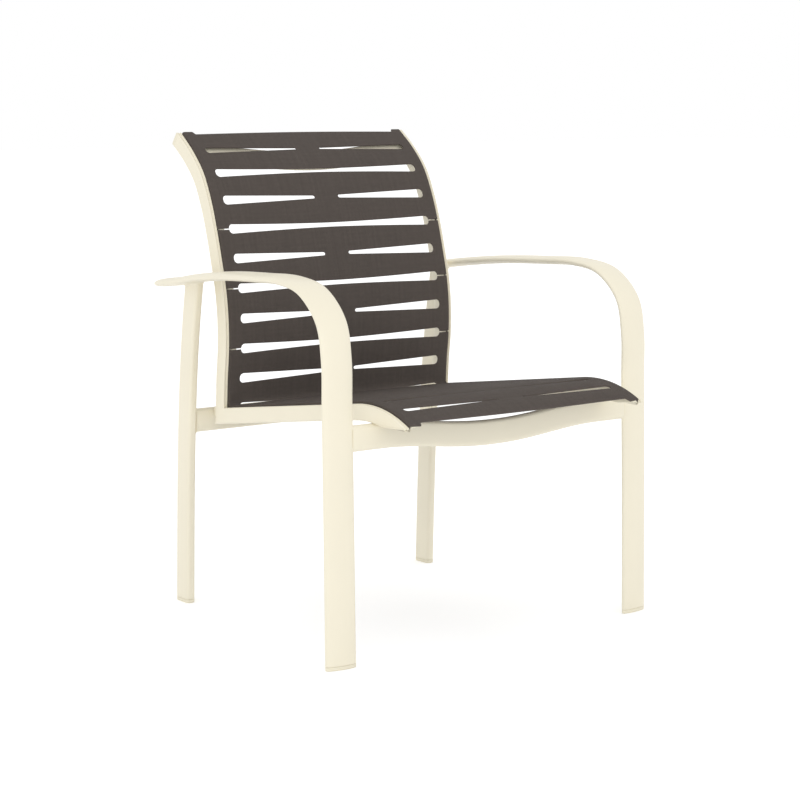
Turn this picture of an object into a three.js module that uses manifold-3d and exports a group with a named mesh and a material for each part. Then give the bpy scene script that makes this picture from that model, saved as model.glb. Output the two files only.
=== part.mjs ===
// A sling patio chair: a welded aluminium frame of flat oval bars, two L-shaped side
// rails, and a seat and back of slotted fabric panels stretched between the rails.
// Millimetres. +X is the sitter's left-to-right across the chair seen from the front,
// +Y points to the back, +Z up. The chair stands on z = 0, with the centre of its
// bounding box over the origin.
import * as THREE from 'three';
import Module from 'manifold-3d';

const wasm = await Module();
wasm.setup();

// Clearances and overruns
const gap = 0.3;              // between touching pieces
const overrun = 12;           // how far a cutter runs past what it cuts

// Side rails: one extrusion, mitred at the corner of seat and back
const railWidth = 21.5;
const railDepth = 30;
const railInside = 217.5;     // inner face from the middle of the chair
const railFaceDepth = 2.7;    // the rail's face behind the sling's face
const railCorner = { front: 2.5, inner: 6.5, outer: 3.5, shoulder: 1.8 };
const railFlat = 6;           // width of the rail's flat face beside the sling
const railSlope = { out: 8.6, depth: 3.3 };
const miterGap = 0.3;

// The groove that holds the sling, with a bead and a channel on its outer side
const grooveWall = 9.7;       // from the rail's outer face to the groove's centre
const grooveMouth = 2.7;
const grooveLead = 5.7;       // depth where the groove's inner side begins
const pocketDepth = 12.9;     // depth of the pocket's centre
const pocketRadius = 3.3;
const bead = { top: 5.7, radius: 1.2 };
const channel = { depth: 7.6, slope: 1 };
const splineRadius = 3;

// Rail caps: a plate over the rail's end and a stub inside it. The seat rail's end is cut
// on a slant from below, and its cap follows the slant.
const railCap = { thickness: 4, edge: 1.2, hemSpace: 1 };
const railPlug = { length: 12, width: 13.5, height: 7.5, corner: 2, depth: 22.3 };
const seatRailCut = { depth: 11, length: 66 };

// Sling panels
const slingThickness = 2.4;
const slotPitch = 50.8;       // from slot to slot on the back
const seatSlotPitch = 51.25;  // and on the seat
const slotCount = 19;
const cornerSlot = 10;
const cornerSlotLead = 6.5;   // the corner slot's centre in front of the corner
const slotEndSpace = 7.5;     // between a slot's outer end and the rail
const slotCentreHalf = 24.5;  // half the bridge in the middle of an odd slot
const slotMouth = 16.8;       // a slot's width near its outer end
const fullSlotWaist = 8.1;
const halfSlotWaist = 4.4;
const fullSlotPower = 1.6;
const slotEndRound = 7;
const slotRoundShares = [0, 0.3, 1];       // columns on a slot's round end, inwards
const slotColumnShares = [0.75, 0.42];     // columns across a slot, of its reach
const bandStep = 1.2;         // from a slot's end out to the side band's seam
const seamGap = 1.2;
const earLength = 50;         // from the end slots' centres to the side bands' ends
const earStep = 7;            // how far the side bands run past the end ribbons
const endBulge = 2.8;         // how far the end ribbons bulge in the middle
const slingPlateau = 10;      // flat width of the side band over the rail
const shoulderTop = { out: 0.4, depth: 0.7, backOut: 2.3, backDepth: 2.8 };
const shoulderSide = { past: 0.5, depth: 2.7, backOut: 1.8, backDepth: 3.7 };
const hem = { space: 0.5, thickness: 1.7, bend: 5.4, foot: 9.2 };

// The sling's face line, seen from the side
const seatOverhang = 84.6;    // how far the seat's front end lies before the front legs
const cornerHeight = 352.6;   // of the corner where the back meets the seat
const seatPitch = 7.3;        // degrees that the seat rises to the front
const seatStraight = 380;     // length of its straight part
const waterfallRadius = 230;
const cornerFillet = 5;
const backHeight = 455.4;     // from the corner up to the top
const backLean = 136;         // how far the top leans back from the corner
const backLineShares = [      // back / up from the corner, as shares of lean and height
  [0, 0], [-0.0235, 0.096], [-0.0665, 0.206], [-0.069, 0.3186], [-0.026, 0.4286],
  [0.064, 0.5384], [0.164, 0.6463], [0.289, 0.751], [0.462, 0.8515], [0.71, 0.932],
  [1, 1],
];

// Arm bars: each is one flat oval bar, bent from the front foot into the arm
const armBar = { width: 52.5, thickness: 14.5 };
const frontLegSpace = 35.5;   // between a rail and a front leg's wide side
const armTipSpace = 10;       // between a rail's outer face and the tip's centre
const armTipPast = 85.5;      // how far the arm's tip runs past the rear foot
const armHeight = 583.8;      // centre of the bar at its highest
const armBow = 2;             // how far the plan curve's handle lies outside the leg
const armBowShare = 0.46;     // where that handle lies along the reach
const toeOut = 7.2;           // degrees that a front leg's wide face turns outwards
const armRoll = 2.2;          // degrees that an arm's top leans
const armTipTaper = 92;       // length over which the bar thins to its tip
const armTipRounding = 42;    // length over which it rounds in plan
const armTipShare = 0.06;     // size of the tip's end, of the bar's section
const armLineShares = [       // back from the leg / up, as shares of reach and height
  [0.0035, 0], [0.0068, 0.4296], [0.0102, 0.6864], [0.0116, 0.8086], [0.0328, 0.9045],
  [0.1105, 0.9766], [0.2103, 0.9998], [0.3531, 1.0003], [0.53, 0.9935], [0.7064, 0.9751],
  [0.8339, 0.9564], [0.9055, 0.9485], [1, 0.9372],
];
const armBend = { startShare: 0.3, endShare: 0.64, stationShare: 0.62, lastShare: 0.9985 };

// Rear legs: a narrower flat oval bar with its wide side facing outwards
const rearLegBar = { width: 16, thickness: 40, corner: 5.5 };
const rearLegSpace = 12.6;    // between a rail and a rear leg
const rearFootBehind = 107.3; // centre of a rear foot behind the corner of the sling
const rearLegLean = 0.045;    // forward per unit of rise where the leg is straight
const rearLegBend = 22;       // how much further forward it bends by the arm's height
const rearLegBendPower = 2.7;

// Glides
const glideHeight = 6;
const glidePlug = 22;
const glideRound = 1.6;
const tubeWall = 2.2;

// Cross bars
const crossBar = { thickness: 14, height: 38, corner: 5.5 };
const frontBarSag = 16;
const frontBarSetback = 2.5;  // behind the front legs' centre line
const rearBarAhead = 10;      // ahead of the rear legs' centre line
const rearBarDrop = 31;       // its centre below the corner of the sling
const topBarSag = 16;
const topBarDepth = 15;       // its centre behind the sling's face
const topBarRise = 1;         // its centre above the first slot, along the rail

// Brackets between the seat rails and the rear cross bar, and their bolts
const bracket = { thickness: 5, height: 16, corner: 5, overlap: 36, drop: 19.6 };
const boltLead = 10;          // first bolt behind the bracket's front end
const boltSpacing = 32;
const bolt = { radius: 3, grip: 9, headRadius: 5.4, headHeight: 3.2, crownRadius: 3.8, chamfer: 1.6 };

// Steps along the curved pieces
const armSteps = 31;
const legSteps = 4;
const armStationEase = 1.7;
const rearLegSteps = 8;
const crossBarSteps = 14;
const ovalSides = 16;
const ovalPower = 2.3;        // 2 is an ellipse, and more is squarer
const arcSteps = 3;
const pocketSteps = 5;
const beadSteps = 2;
const cornerSteps = 1;
const wideCornerSteps = 2;
const splineSides = 6;
const boltSides = 8;
const ribbonCells = 2;        // along each ribbon where the sling is curved

// Sizes that follow from the ones above
const slotReach = railInside - slotEndSpace;
const frontSpread = railInside + railWidth + frontLegSpace + armBar.width / 2;
const armTipSpread = railInside + railWidth + armTipSpace;
const rearSpread = railInside + railWidth + rearLegSpace + rearLegBar.width / 2;
const rearBarCentre = cornerHeight - rearBarDrop;
const grooveCentre = railWidth - grooveWall;
const footTop = glideHeight + gap;

const cream = { color: 0xefe7d2, roughness: 0.42, metalness: 0.0 };
const darkWeave = { color: 0x5b544e, roughness: 0.9, metalness: 0.0 };
const nylon = { color: 0xe8dfc8, roughness: 0.55, metalness: 0.0 };
const rod = { color: 0x3a3632, roughness: 0.6, metalness: 0.0 };
const steel = { color: 0xb9b7b0, roughness: 0.35, metalness: 0.9 };

const radians = THREE.MathUtils.degToRad;
const quarterTurn = Math.PI / 2;
const halfTurn = Math.PI;
const fullTurn = 2 * Math.PI;

// Closed meshes from rings of points: the first and last rings are filled

function closedMesh(points, faces) {
  const positions = points.flatMap((p) => p.toArray());
  let volume = 0;
  for (const [a, b, c] of faces) {
    volume += points[a].dot(points[b].clone().cross(points[c]));
  }
  const outward = volume > 0 ? faces : faces.map(([a, b, c]) => [a, c, b]);
  const geometry = new THREE.BufferGeometry();
  geometry.setAttribute('position', new THREE.Float32BufferAttribute(positions, 3));
  geometry.setIndex(outward.flat());
  geometry.computeVertexNormals();
  return geometry;
}

function fill(outline) {
  return THREE.ShapeUtils.triangulateShape(outline, []);
}

function loft(rings, startOutline, endOutline = startOutline) {
  const count = rings[0].length;
  const faces = [];
  for (let r = 0; r + 1 < rings.length; r += 1) {
    for (let i = 0; i < count; i += 1) {
      const a = r * count + i;
      const b = r * count + ((i + 1) % count);
      faces.push([a, b, b + count], [a, b + count, a + count]);
    }
  }
  const last = (rings.length - 1) * count;
  // the outlines may run either way round, so both fills are wound by their area's sign
  const startWay = THREE.ShapeUtils.area(startOutline) > 0;
  const endWay = THREE.ShapeUtils.area(endOutline) > 0;
  for (const [a, b, c] of fill(startOutline)) {
    faces.push(startWay === sameWay(startOutline, a, b, c) ? [a, c, b] : [a, b, c]);
  }
  for (const [a, b, c] of fill(endOutline)) {
    const face = endWay === sameWay(endOutline, a, b, c) ? [a, b, c] : [a, c, b];
    faces.push(face.map((i) => i + last));
  }
  return closedMesh(rings.flat(), faces);
}

function sameWay(outline, a, b, c) {
  return THREE.ShapeUtils.area([outline[a], outline[b], outline[c]]) > 0;
}

// Solids that are cut or joined

function solidFrom(geometry) {
  const vertProperties = new Float32Array(geometry.getAttribute('position').array);
  const triVerts = new Uint32Array(geometry.getIndex().array);
  return new wasm.Manifold(new wasm.Mesh({ numProp: 3, vertProperties, triVerts }));
}

function geometryFrom(solid) {
  const { vertProperties, triVerts } = solid.getMesh();
  const geometry = new THREE.BufferGeometry();
  geometry.setAttribute('position', new THREE.BufferAttribute(new Float32Array(vertProperties), 3));
  geometry.setIndex(new THREE.BufferAttribute(new Uint32Array(triVerts), 1));
  geometry.computeVertexNormals();
  return geometry;
}

function cut(geometry, ...cutters) {
  let solid = solidFrom(geometry);
  for (const cutter of cutters) solid = solid.subtract(solidFrom(cutter));
  return geometryFrom(solid);
}

function join(geometry, other) {
  return geometryFrom(solidFrom(geometry).add(solidFrom(other)));
}

function common(geometry, other) {
  return geometryFrom(solidFrom(geometry).intersect(solidFrom(other)));
}

function mirrored(geometry) {
  const copy = geometry.clone();
  copy.scale(-1, 1, 1);
  const index = Array.from(copy.getIndex().array);
  for (let i = 0; i < index.length; i += 3) {
    [index[i + 1], index[i + 2]] = [index[i + 2], index[i + 1]];
  }
  copy.setIndex(index);
  copy.computeVertexNormals();
  return copy;
}

// Outlines

function roundedBar(width, height, corner) {
  const points = [];
  const signs = [[1, 1], [-1, 1], [-1, -1], [1, -1]];
  signs.forEach(([sx, sy], quarter) => {
    for (let i = 0; i <= arcSteps; i += 1) {
      const angle = (quarter + i / arcSteps) * quarterTurn;
      points.push(new THREE.Vector2(
        sx * (width / 2 - corner) + corner * Math.cos(angle),
        sy * (height / 2 - corner) + corner * Math.sin(angle),
      ));
    }
  });
  return points;
}

// A flat oval: a superellipse whose power lies a little above an ellipse's
function oval(width, height) {
  const along = (share) => Math.sign(share) * Math.abs(share) ** (2 / ovalPower);
  return Array.from({ length: ovalSides }, (unused, i) => {
    const angle = fullTurn * i / ovalSides;
    return new THREE.Vector2(
      along(Math.cos(angle)) * width / 2,
      along(Math.sin(angle)) * height / 2,
    );
  });
}

function barOutline(bar, grown = 0) {
  const [width, height] = [bar.width + 2 * grown, bar.thickness + 2 * grown];
  return bar.corner ? roundedBar(width, height, bar.corner + grown) : oval(width, height);
}

function disc(radius, sides) {
  return Array.from({ length: sides }, (unused, i) => {
    const angle = fullTurn * i / sides;
    return new THREE.Vector2(radius * Math.cos(angle), radius * Math.sin(angle));
  });
}

function spread(from, to, steps) {
  return Array.from({ length: steps + 1 }, (unused, i) => from + (to - from) * i / steps);
}

// The sling's face line, seen from the side: s runs from the corner forward along the
// seat (+) and up the back (-); normal points behind the sling, which is into the rails

const seatWay = new THREE.Vector2(-Math.cos(radians(seatPitch)), Math.sin(radians(seatPitch)));

function slotCentre(k) {
  return cornerSlotLead + (k - cornerSlot) * (k > cornerSlot ? seatSlotPitch : slotPitch);
}

const backEnd = slotCentre(1) - earLength;
const seatEnd = slotCentre(slotCount) + earLength;
const backRailEnd = backEnd + railCap.thickness;

function behind(way) {
  return new THREE.Vector2(-way.y, way.x);
}

// The seat's line from the corner forward, with the corner at zero
function seatLine(s) {
  const angle = Math.max(0, s - seatStraight) / waterfallRadius;
  const point = seatWay.clone().multiplyScalar(Math.min(s, seatStraight));
  const centre = point.clone().addScaledVector(behind(seatWay), waterfallRadius);
  return {
    point: point.rotateAround(centre, angle),
    way: seatWay.clone().rotateAround(new THREE.Vector2(), angle),
  };
}

const cornerReach = -seatOverhang - seatLine(seatEnd).point.x;
const slingCorner = new THREE.Vector2(cornerReach, cornerHeight);
const rearFootReach = cornerReach + rearFootBehind;
const armReach = rearFootReach + armTipPast;

const backLine = new THREE.SplineCurve(backLineShares.map(([back, up]) => new THREE.Vector2(
  cornerReach + back * backLean, cornerHeight + up * backHeight)));
const backLength = backLine.getLength();

function sharpLine(s) {
  if (s > 0) {
    const { point, way } = seatLine(s);
    return { point: point.add(slingCorner), way };
  }
  const t = Math.min(1, -s / backLength);
  const point = backLine.getPointAt(t);
  const way = backLine.getTangentAt(t).negate();
  point.addScaledVector(way, s + t * backLength);
  return { point, way };
}

function slingLine(s) {
  let { point, way } = sharpLine(s);
  if (Math.abs(s) < cornerFillet) {
    const from = sharpLine(-cornerFillet);
    const to = sharpLine(cornerFillet);
    const t = (s + cornerFillet) / (2 * cornerFillet);
    point = new THREE.Vector2()
      .addScaledVector(from.point, (1 - t) ** 2)
      .addScaledVector(slingCorner, 2 * (1 - t) * t)
      .addScaledVector(to.point, t * t);
    way = from.way.clone().multiplyScalar(1 - t).addScaledVector(to.way, t).normalize();
  }
  return { point, way, normal: behind(way) };
}

function onSling(x, s, depth) {
  const { point, normal } = slingLine(s);
  return new THREE.Vector3(x, point.x + normal.x * depth, point.y + normal.y * depth);
}

// The arm bar's centre line in side view, and its distance from the middle in plan

const armLine = new THREE.CatmullRomCurve3(
  armLineShares.map(([back, up]) => new THREE.Vector3(0, back * armReach, up * armHeight)),
  false, 'centripetal',
);
const armLength = armLine.getLength();

function armSpread(reach) {
  // a quadratic curve; its parameter s follows from the share of the reach
  const t = THREE.MathUtils.clamp(reach / armReach, 0, 1);
  const s = t / (armBowShare + Math.sqrt(armBowShare ** 2 + (1 - 2 * armBowShare) * t));
  return (1 - s) ** 2 * frontSpread + 2 * (1 - s) * s * (frontSpread + armBow) + s * s * armTipSpread;
}

function armCentre(t) {
  const p = armLine.getPointAt(t);
  return new THREE.Vector3(-armSpread(p.y), p.y, p.z);
}

const armWideWay = new THREE.Vector3(
  Math.cos(radians(toeOut)) * Math.cos(radians(armRoll)),
  -Math.sin(radians(toeOut)) * Math.cos(radians(armRoll)),
  Math.sin(radians(armRoll)),
);

function armFrame(t) {
  const step = 1 / (2 * armSteps);
  const along = armCentre(Math.min(1, t + step)).sub(armCentre(Math.max(0, t - step))).normalize();
  const across = armWideWay.clone().addScaledVector(along, -armWideWay.dot(along)).normalize();
  return { centre: armCentre(t), across, out: across.clone().cross(along).normalize() };
}

function ringOf(outline, frame, wide = 1, thin = 1) {
  return outline.map((p) => frame.centre.clone()
    .addScaledVector(frame.across, p.x * wide)
    .addScaledVector(frame.out, p.y * thin));
}

function levelRing(outline, centre, turn, height) {
  const across = new THREE.Vector3(Math.cos(turn), -Math.sin(turn), 0);
  const out = new THREE.Vector3(-Math.sin(turn), -Math.cos(turn), 0);
  return ringOf(outline, { centre: new THREE.Vector3(centre.x, centre.y, height), across, out });
}

// Stations along the bar are close together round the bend and at the tip
function armStations() {
  const { startShare, endShare, stationShare, lastShare } = armBend;
  const bendSteps = Math.round((armSteps - legSteps) * stationShare);
  const armEndSteps = armSteps - legSteps - bendSteps;
  return [
    ...spread(0, startShare, legSteps).slice(1),
    ...spread(startShare, endShare, bendSteps).slice(1),
    ...spread(0, 1, armEndSteps).slice(1).map((share) => (
      endShare + (lastShare - endShare) * (1 - (1 - share) ** armStationEase))),
  ];
}

function roundedEnd(distance, length) {
  const inside = THREE.MathUtils.clamp(distance / length, 0, 1);
  return Math.max(armTipShare, Math.sqrt(1 - (1 - inside) ** 2));
}

function armBody(grown = 0) {
  const outline = barOutline(armBar, grown);
  const socket = barOutline(armBar, -tubeWall);
  const foot = armCentre(0);
  const turn = radians(toeOut);
  const rings = [levelRing(outline, foot, turn, footTop)];
  if (grown === 0) {
    rings.unshift(
      levelRing(socket, foot, turn, footTop + glidePlug + gap),
      levelRing(socket, foot, turn, footTop),
    );
  }
  for (const t of armStations()) {
    const left = (1 - t) * armLength;
    const [wide, thin] = [armTipRounding, armTipTaper].map((length) => roundedEnd(left, length));
    rings.push(ringOf(outline, armFrame(t), wide, thin));
  }
  return loft(rings, outline);
}

// Rear legs: level sections whose centre moves forward as they rise

function rearLegReach(height) {
  return rearFootReach - rearLegLean * height - rearLegBend * (height / armHeight) ** rearLegBendPower;
}

function armHeightAt(reach) {
  let nearest = armCentre(1);
  for (const t of armStations()) {
    const p = armCentre(t);
    if (p.z > cornerHeight && Math.abs(p.y - reach) < Math.abs(nearest.y - reach)) nearest = p;
  }
  return nearest.z;
}

function rearLeg() {
  const outline = barOutline(rearLegBar);
  const socket = barOutline(rearLegBar, -tubeWall);
  const ring = (shape, height, at = height) => shape.map((p) => new THREE.Vector3(
    -rearSpread + p.x, rearLegReach(at) + p.y, height));
  const rings = [ring(socket, footTop + glidePlug + gap, footTop), ring(socket, footTop)];
  const top = armHeightAt(rearLegReach(armHeight));
  for (const height of spread(footTop, top, rearLegSteps)) rings.push(ring(outline, height));
  return cut(loft(rings, outline), armBody(gap));
}

// Glides: a shoe under the bar's end and a plug inside it

function glide(bar, centre, turn) {
  const plug = barOutline(bar, -tubeWall - gap);
  const rings = [
    levelRing(barOutline(bar, -glideRound), centre, turn, 0),
    levelRing(barOutline(bar), centre, turn, glideRound),
    levelRing(barOutline(bar), centre, turn, glideHeight),
    levelRing(plug, centre, turn, glideHeight),
    levelRing(plug, centre, turn, glideHeight + glidePlug),
  ];
  return loft(rings, plug);
}

const frontGlide = () => glide(armBar, armCentre(0), radians(toeOut));
const rearGlide = () => glide(rearLegBar, new THREE.Vector3(-rearSpread, rearLegReach(footTop), 0), 0);

// The rails and rods bend at the same places as the panels on them
function slotStations(from, to) {
  const middle = [];
  for (let k = 0; k <= slotCount + 1; k += 1) {
    middle.push(slotCentre(k), (slotCentre(k) + slotCentre(k + 1)) / 2);
  }
  return [from, ...middle.filter((s) => s > from + gap && s < to - gap), to];
}

// Side rails

function arc(x, y, radius, from, to, steps) {
  return spread(from, to, steps).map((angle) => new THREE.Vector2(
    x + radius * Math.cos(angle), y + radius * Math.sin(angle)));
}

const grooveWalls = [grooveCentre - grooveMouth / 2, grooveCentre + grooveMouth / 2];

// Below the groove's mouth a rail has the round pocket for the rod
function roundPocket() {
  const half = Math.asin(grooveMouth / 2 / pocketRadius);
  const [from, to] = [-quarterTurn - half, -quarterTurn - fullTurn + half];
  return arc(grooveCentre, pocketDepth, pocketRadius, from, to, pocketSteps);
}

// and a cap has a notch for the hem
function hemNotch() {
  return grooveWalls.map((wall) => new THREE.Vector2(wall, hem.foot + railCap.hemSpace));
}

function railOutline(groove = roundPocket()) {
  const v = (x, y) => new THREE.Vector2(x, y);
  const { front, inner, outer, shoulder } = railCorner;
  const [innerWall, outerWall] = grooveWalls;
  const beadCentre = outerWall + bead.radius;
  const shoulderCentre = railWidth - shoulder;
  const shoulderStart = shoulderCentre + shoulder * Math.cos(halfTurn + quarterTurn / 2);
  return [
    v(0, railFaceDepth + front / 2),
    v(front / 2, railFaceDepth),
    v(railFlat, railFaceDepth),
    v(railSlope.out, railSlope.depth),
    v(innerWall, grooveLead),
    ...groove,
    ...arc(beadCentre, bead.top + bead.radius, bead.radius, halfTurn, fullTurn, beadSteps),
    v(beadCentre + bead.radius + channel.slope, channel.depth),
    v(shoulderStart - channel.slope, channel.depth),
    ...arc(
      shoulderCentre, bead.top + shoulder, shoulder,
      halfTurn + quarterTurn / 2, fullTurn, beadSteps,
    ),
    ...arc(railWidth - outer, railDepth - outer, outer, 0, quarterTurn, cornerSteps),
    ...arc(inner, railDepth - inner, inner, quarterTurn, halfTurn, wideCornerSteps),
  ];
}

function railRing(outline, s) {
  const { point, way } = sharpLine(s);
  return outline.map((p) => new THREE.Vector3(
    -railInside - p.x, point.x - way.y * p.y, point.y + way.x * p.y));
}

// The mitre plane halves the angle between the seat and the back
const backWay = sharpLine(0).way;
const backNormal = behind(backWay);
const seatNormal = behind(seatWay);
const miter = backNormal.clone().add(seatNormal).divideScalar(1 + backNormal.dot(seatNormal));

function miterRing(outline, way, shift) {
  return outline.map((p) => new THREE.Vector3(
    -railInside - p.x,
    slingCorner.x + miter.x * p.y + way.x * shift,
    slingCorner.y + miter.y * p.y + way.y * shift,
  ));
}

// The outline in the rail's section of the cap's stub and of the hole that it sits in
function plugOutline(shrunk) {
  const { width, height, corner, depth } = railPlug;
  const centre = new THREE.Vector2(railWidth / 2, depth);
  return roundedBar(width - 2 * shrunk, height - 2 * shrunk, corner - shrunk)
    .map((p) => p.add(centre));
}

function alongRail(outline, stations) {
  return loft(stations.map((s) => railRing(outline, s)), outline);
}

function backRail() {
  const outline = railOutline();
  const stations = slotStations(backRailEnd, slotCentre(cornerSlot) - slotPitch / 2);
  const rings = stations.map((s) => railRing(outline, s));
  rings.push(miterRing(outline, backWay, -miterGap / 2));
  const hole = [backRailEnd - overrun, backRailEnd + railPlug.length + gap];
  return cut(loft(rings, outline), alongRail(plugOutline(0), hole));
}

// An outline drawn in towards its middle, for a plate's rounded edge
function drawnIn(outline, edge) {
  const centre = new THREE.Vector2(grooveCentre, railDepth / 2);
  const share = 1 - 2 * edge / railDepth;
  return outline.map((p) => p.clone().sub(centre).multiplyScalar(share).add(centre));
}

function backCap() {
  const outline = railOutline(hemNotch());
  const plate = loft([
    railRing(drawnIn(outline, railCap.edge), backEnd),
    railRing(outline, backEnd + railCap.edge),
    railRing(outline, backRailEnd - gap),
  ], outline);
  const stub = [backEnd + railCap.edge, backRailEnd + railPlug.length];
  return join(plate, alongRail(plugOutline(gap), stub));
}

// A block past the seat rail's end: it reaches in from the front as far as the end face,
// and from below as far as the slanted cut, each moved into the rail by an inset
function pastSeatEnd(inset) {
  const end = sharpLine(seatEnd);
  const rear = sharpLine(seatEnd - seatRailCut.length);
  const knee = end.point.clone().addScaledVector(behind(end.way), seatRailCut.depth);
  const heel = rear.point.clone().addScaledVector(behind(rear.way), railDepth);
  const slant = heel.clone().sub(knee).normalize();
  const inwards = behind(slant);
  const face = end.point.clone().addScaledVector(end.way, -inset);
  const line = knee.clone().addScaledVector(inwards, inset);
  const down = behind(end.way);
  const insetKnee = face.clone()
    .addScaledVector(down, line.clone().sub(face).cross(slant) / down.cross(slant));
  const reach = seatRailCut.length + railDepth;
  const top = face.clone().addScaledVector(down, -overrun);
  const foot = insetKnee.clone().addScaledVector(slant, reach);
  const outline = [
    top,
    insetKnee,
    foot,
    foot.clone().addScaledVector(end.way, reach),
    top.clone().addScaledVector(end.way, reach),
  ];
  const sides = [-railInside - railWidth - overrun, -railInside + overrun];
  return loft(sides.map((x) => outline.map((p) => new THREE.Vector3(x, p.x, p.y))), outline);
}

const seatStub = [seatEnd - seatRailCut.length, seatEnd];

function seatRail() {
  const outline = railOutline();
  const rings = [miterRing(outline, seatWay, miterGap / 2)];
  for (const s of slotStations(seatStraight - seatSlotPitch / 2, seatEnd)) {
    rings.push(railRing(outline, s));
  }
  const hole = alongRail(plugOutline(0), [seatStub[0] - gap, seatStub[1]]);
  return cut(loft(rings, outline), pastSeatEnd(railCap.thickness), hole);
}

function seatCap() {
  const outline = railOutline(hemNotch());
  const whole = alongRail(outline, slotStations(seatStub[0] - overrun, seatEnd));
  const stub = cut(alongRail(plugOutline(gap), seatStub), pastSeatEnd(railCap.thickness / 2));
  const plate = common(whole, pastSeatEnd(railCap.thickness - gap));
  return cut(join(plate, stub), pastSeatEnd(0));
}

// Cross bars

const crossBarOutline = () => roundedBar(crossBar.thickness, crossBar.height, crossBar.corner);

// A cosine drop from nothing at the ends of a span to the whole sag in its middle
function drop(x, halfSpan, sag) {
  const t = THREE.MathUtils.clamp(Math.abs(x) / halfSpan, 0, 1);
  return sag * (1 + Math.cos(halfTurn * t)) / 2;
}

// The lowest point of the seat rails over a cross bar
function railUndersideAt(reach) {
  const heights = spread(0, seatEnd, crossBarSteps ** 2)
    .map((s) => onSling(0, s, railDepth))
    .filter((p) => Math.abs(p.y - reach) <= crossBar.thickness / 2 + gap)
    .map((p) => p.z);
  return Math.min(...heights);
}

function frontCrossBar() {
  const outline = crossBarOutline();
  const footToRail = armLine.getPoint(1 / (armLineShares.length - 1));
  const reach = footToRail.y + frontBarSetback;
  const ends = railUndersideAt(reach) - gap - crossBar.height / 2;
  const rings = spread(-frontSpread, frontSpread, crossBarSteps).map((x) => {
    const centre = ends - drop(x, railInside, frontBarSag);
    return outline.map((p) => new THREE.Vector3(x, reach + p.x, centre + p.y));
  });
  return cut(loft(rings, outline), armBody(gap), mirrored(armBody(gap)));
}

const rearBarReach = rearLegReach(rearBarCentre) - rearBarAhead;

function rearCrossBar() {
  const outline = crossBarOutline();
  const half = rearSpread - rearLegBar.width / 2 - gap;
  const rings = [-half, half].map((x) => outline.map((p) => new THREE.Vector3(
    x, rearBarReach + p.x, rearBarCentre + p.y)));
  return loft(rings, outline);
}

function topCrossBar() {
  const outline = crossBarOutline();
  const half = railInside - gap;
  const rings = spread(-half, half, crossBarSteps).map((x) => {
    const { point, way, normal } = slingLine(slotCentre(1) - topBarRise + drop(x, half, topBarSag));
    return outline.map((p) => new THREE.Vector3(
      x,
      point.x + normal.x * (topBarDepth + p.x) - way.x * p.y,
      point.y + normal.y * (topBarDepth + p.x) - way.y * p.y,
    ));
  });
  return loft(rings, outline);
}

// Sling panels: a grid whose columns run along the chair and whose rows follow the slots

// Half the width of slot k at a distance from the middle; its outer ends are round
function slotHalf(k, x) {
  const straight = slotReach - slotEndRound;
  const reach = Math.min(x, straight);
  const full = k % 2 === 0;
  const waist = full ? fullSlotWaist : halfSlotWaist;
  const half = (waist + (slotMouth - waist) * (reach / straight) ** (full ? fullSlotPower : 1)) / 2;
  const past = THREE.MathUtils.clamp(x - straight, 0, slotEndRound);
  return half - slotEndRound + Math.sqrt(slotEndRound ** 2 - past ** 2);
}

// A column has its place across and its depth, on the sling's face and on its back
function slingColumns() {
  const wall = railInside + grooveWalls[1];
  const flat = (x) => ({ x, depth: 0, back: x, backDepth: slingThickness });
  const shoulder = ({ out = 0, past = 0, depth, backOut, backDepth }) => (
    { x: wall + past - out, depth, back: wall - backOut, backDepth });
  const inGroove = (depth) => ({
    x: wall - hem.space, depth, back: wall - hem.space - hem.thickness, backDepth: depth });
  const right = [
    slotCentreHalf,
    ...slotColumnShares.slice().reverse().map((share) => share * slotReach),
    ...slotRoundShares.slice().reverse().map((share) => slotReach - share * slotEndRound),
    slotReach + bandStep,
    railInside + slingPlateau,
  ].map(flat);
  right.push(shoulder(shoulderTop), shoulder(shoulderSide), inGroove(hem.bend));
  right.push(inGroove(hem.foot));
  const side = (sign) => right.map((column) => ({ ...column, sign }));
  return [...side(-1).reverse(), ...side(1)];
}

// Where a panel begins or ends: along a slot or a seam, or at the end of the chair
function panelEdge(k, side) {
  return (column) => {
    if (k >= 1 && k <= slotCount) {
      return slotCentre(k) + side * (column.x <= slotReach ? slotHalf(k, column.x) : seamGap / 2);
    }
    const end = side > 0 ? backEnd : seatEnd;
    if (column.x > slotReach) return end;
    return end + side * (earStep - endBulge * Math.cos(quarterTurn * column.x / slotReach));
  };
}

// The rows of a panel from one slot to another: slot 0 is the top end of the chair and
// the slot after the last is its front end. The cells of a row are whole or open.
function panelRows(firstSlot, lastSlot) {
  const rows = [panelEdge(firstSlot, 1)];
  const isWhole = [];
  const ribbon = (to, cells) => {
    const from = rows[rows.length - 1];
    for (let i = 1; i <= cells; i += 1) {
      rows.push((column) => from(column) + (to(column) - from(column)) * i / cells);
      isWhole.push(() => true);
    }
  };
  const cellsTo = (s) => (s > seatSlotPitch && s < seatStraight ? 1 : ribbonCells);
  for (let k = firstSlot + 1; k < lastSlot; k += 1) {
    ribbon((column) => slotCentre(k) - slotHalf(k, column.x), cellsTo(slotCentre(k)));
    rows.push((column) => slotCentre(k) + slotHalf(k, column.x));
    isWhole.push((x) => x > slotReach || (k % 2 === 1 && x < slotCentreHalf));
  }
  // the sling folds sharply where the back meets the seat
  if (lastSlot === cornerSlot) ribbon(() => -cornerFillet, ribbonCells);
  ribbon(panelEdge(lastSlot, -1), cellsTo(slotCentre(lastSlot)));
  return { rows, isWhole };
}

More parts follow.
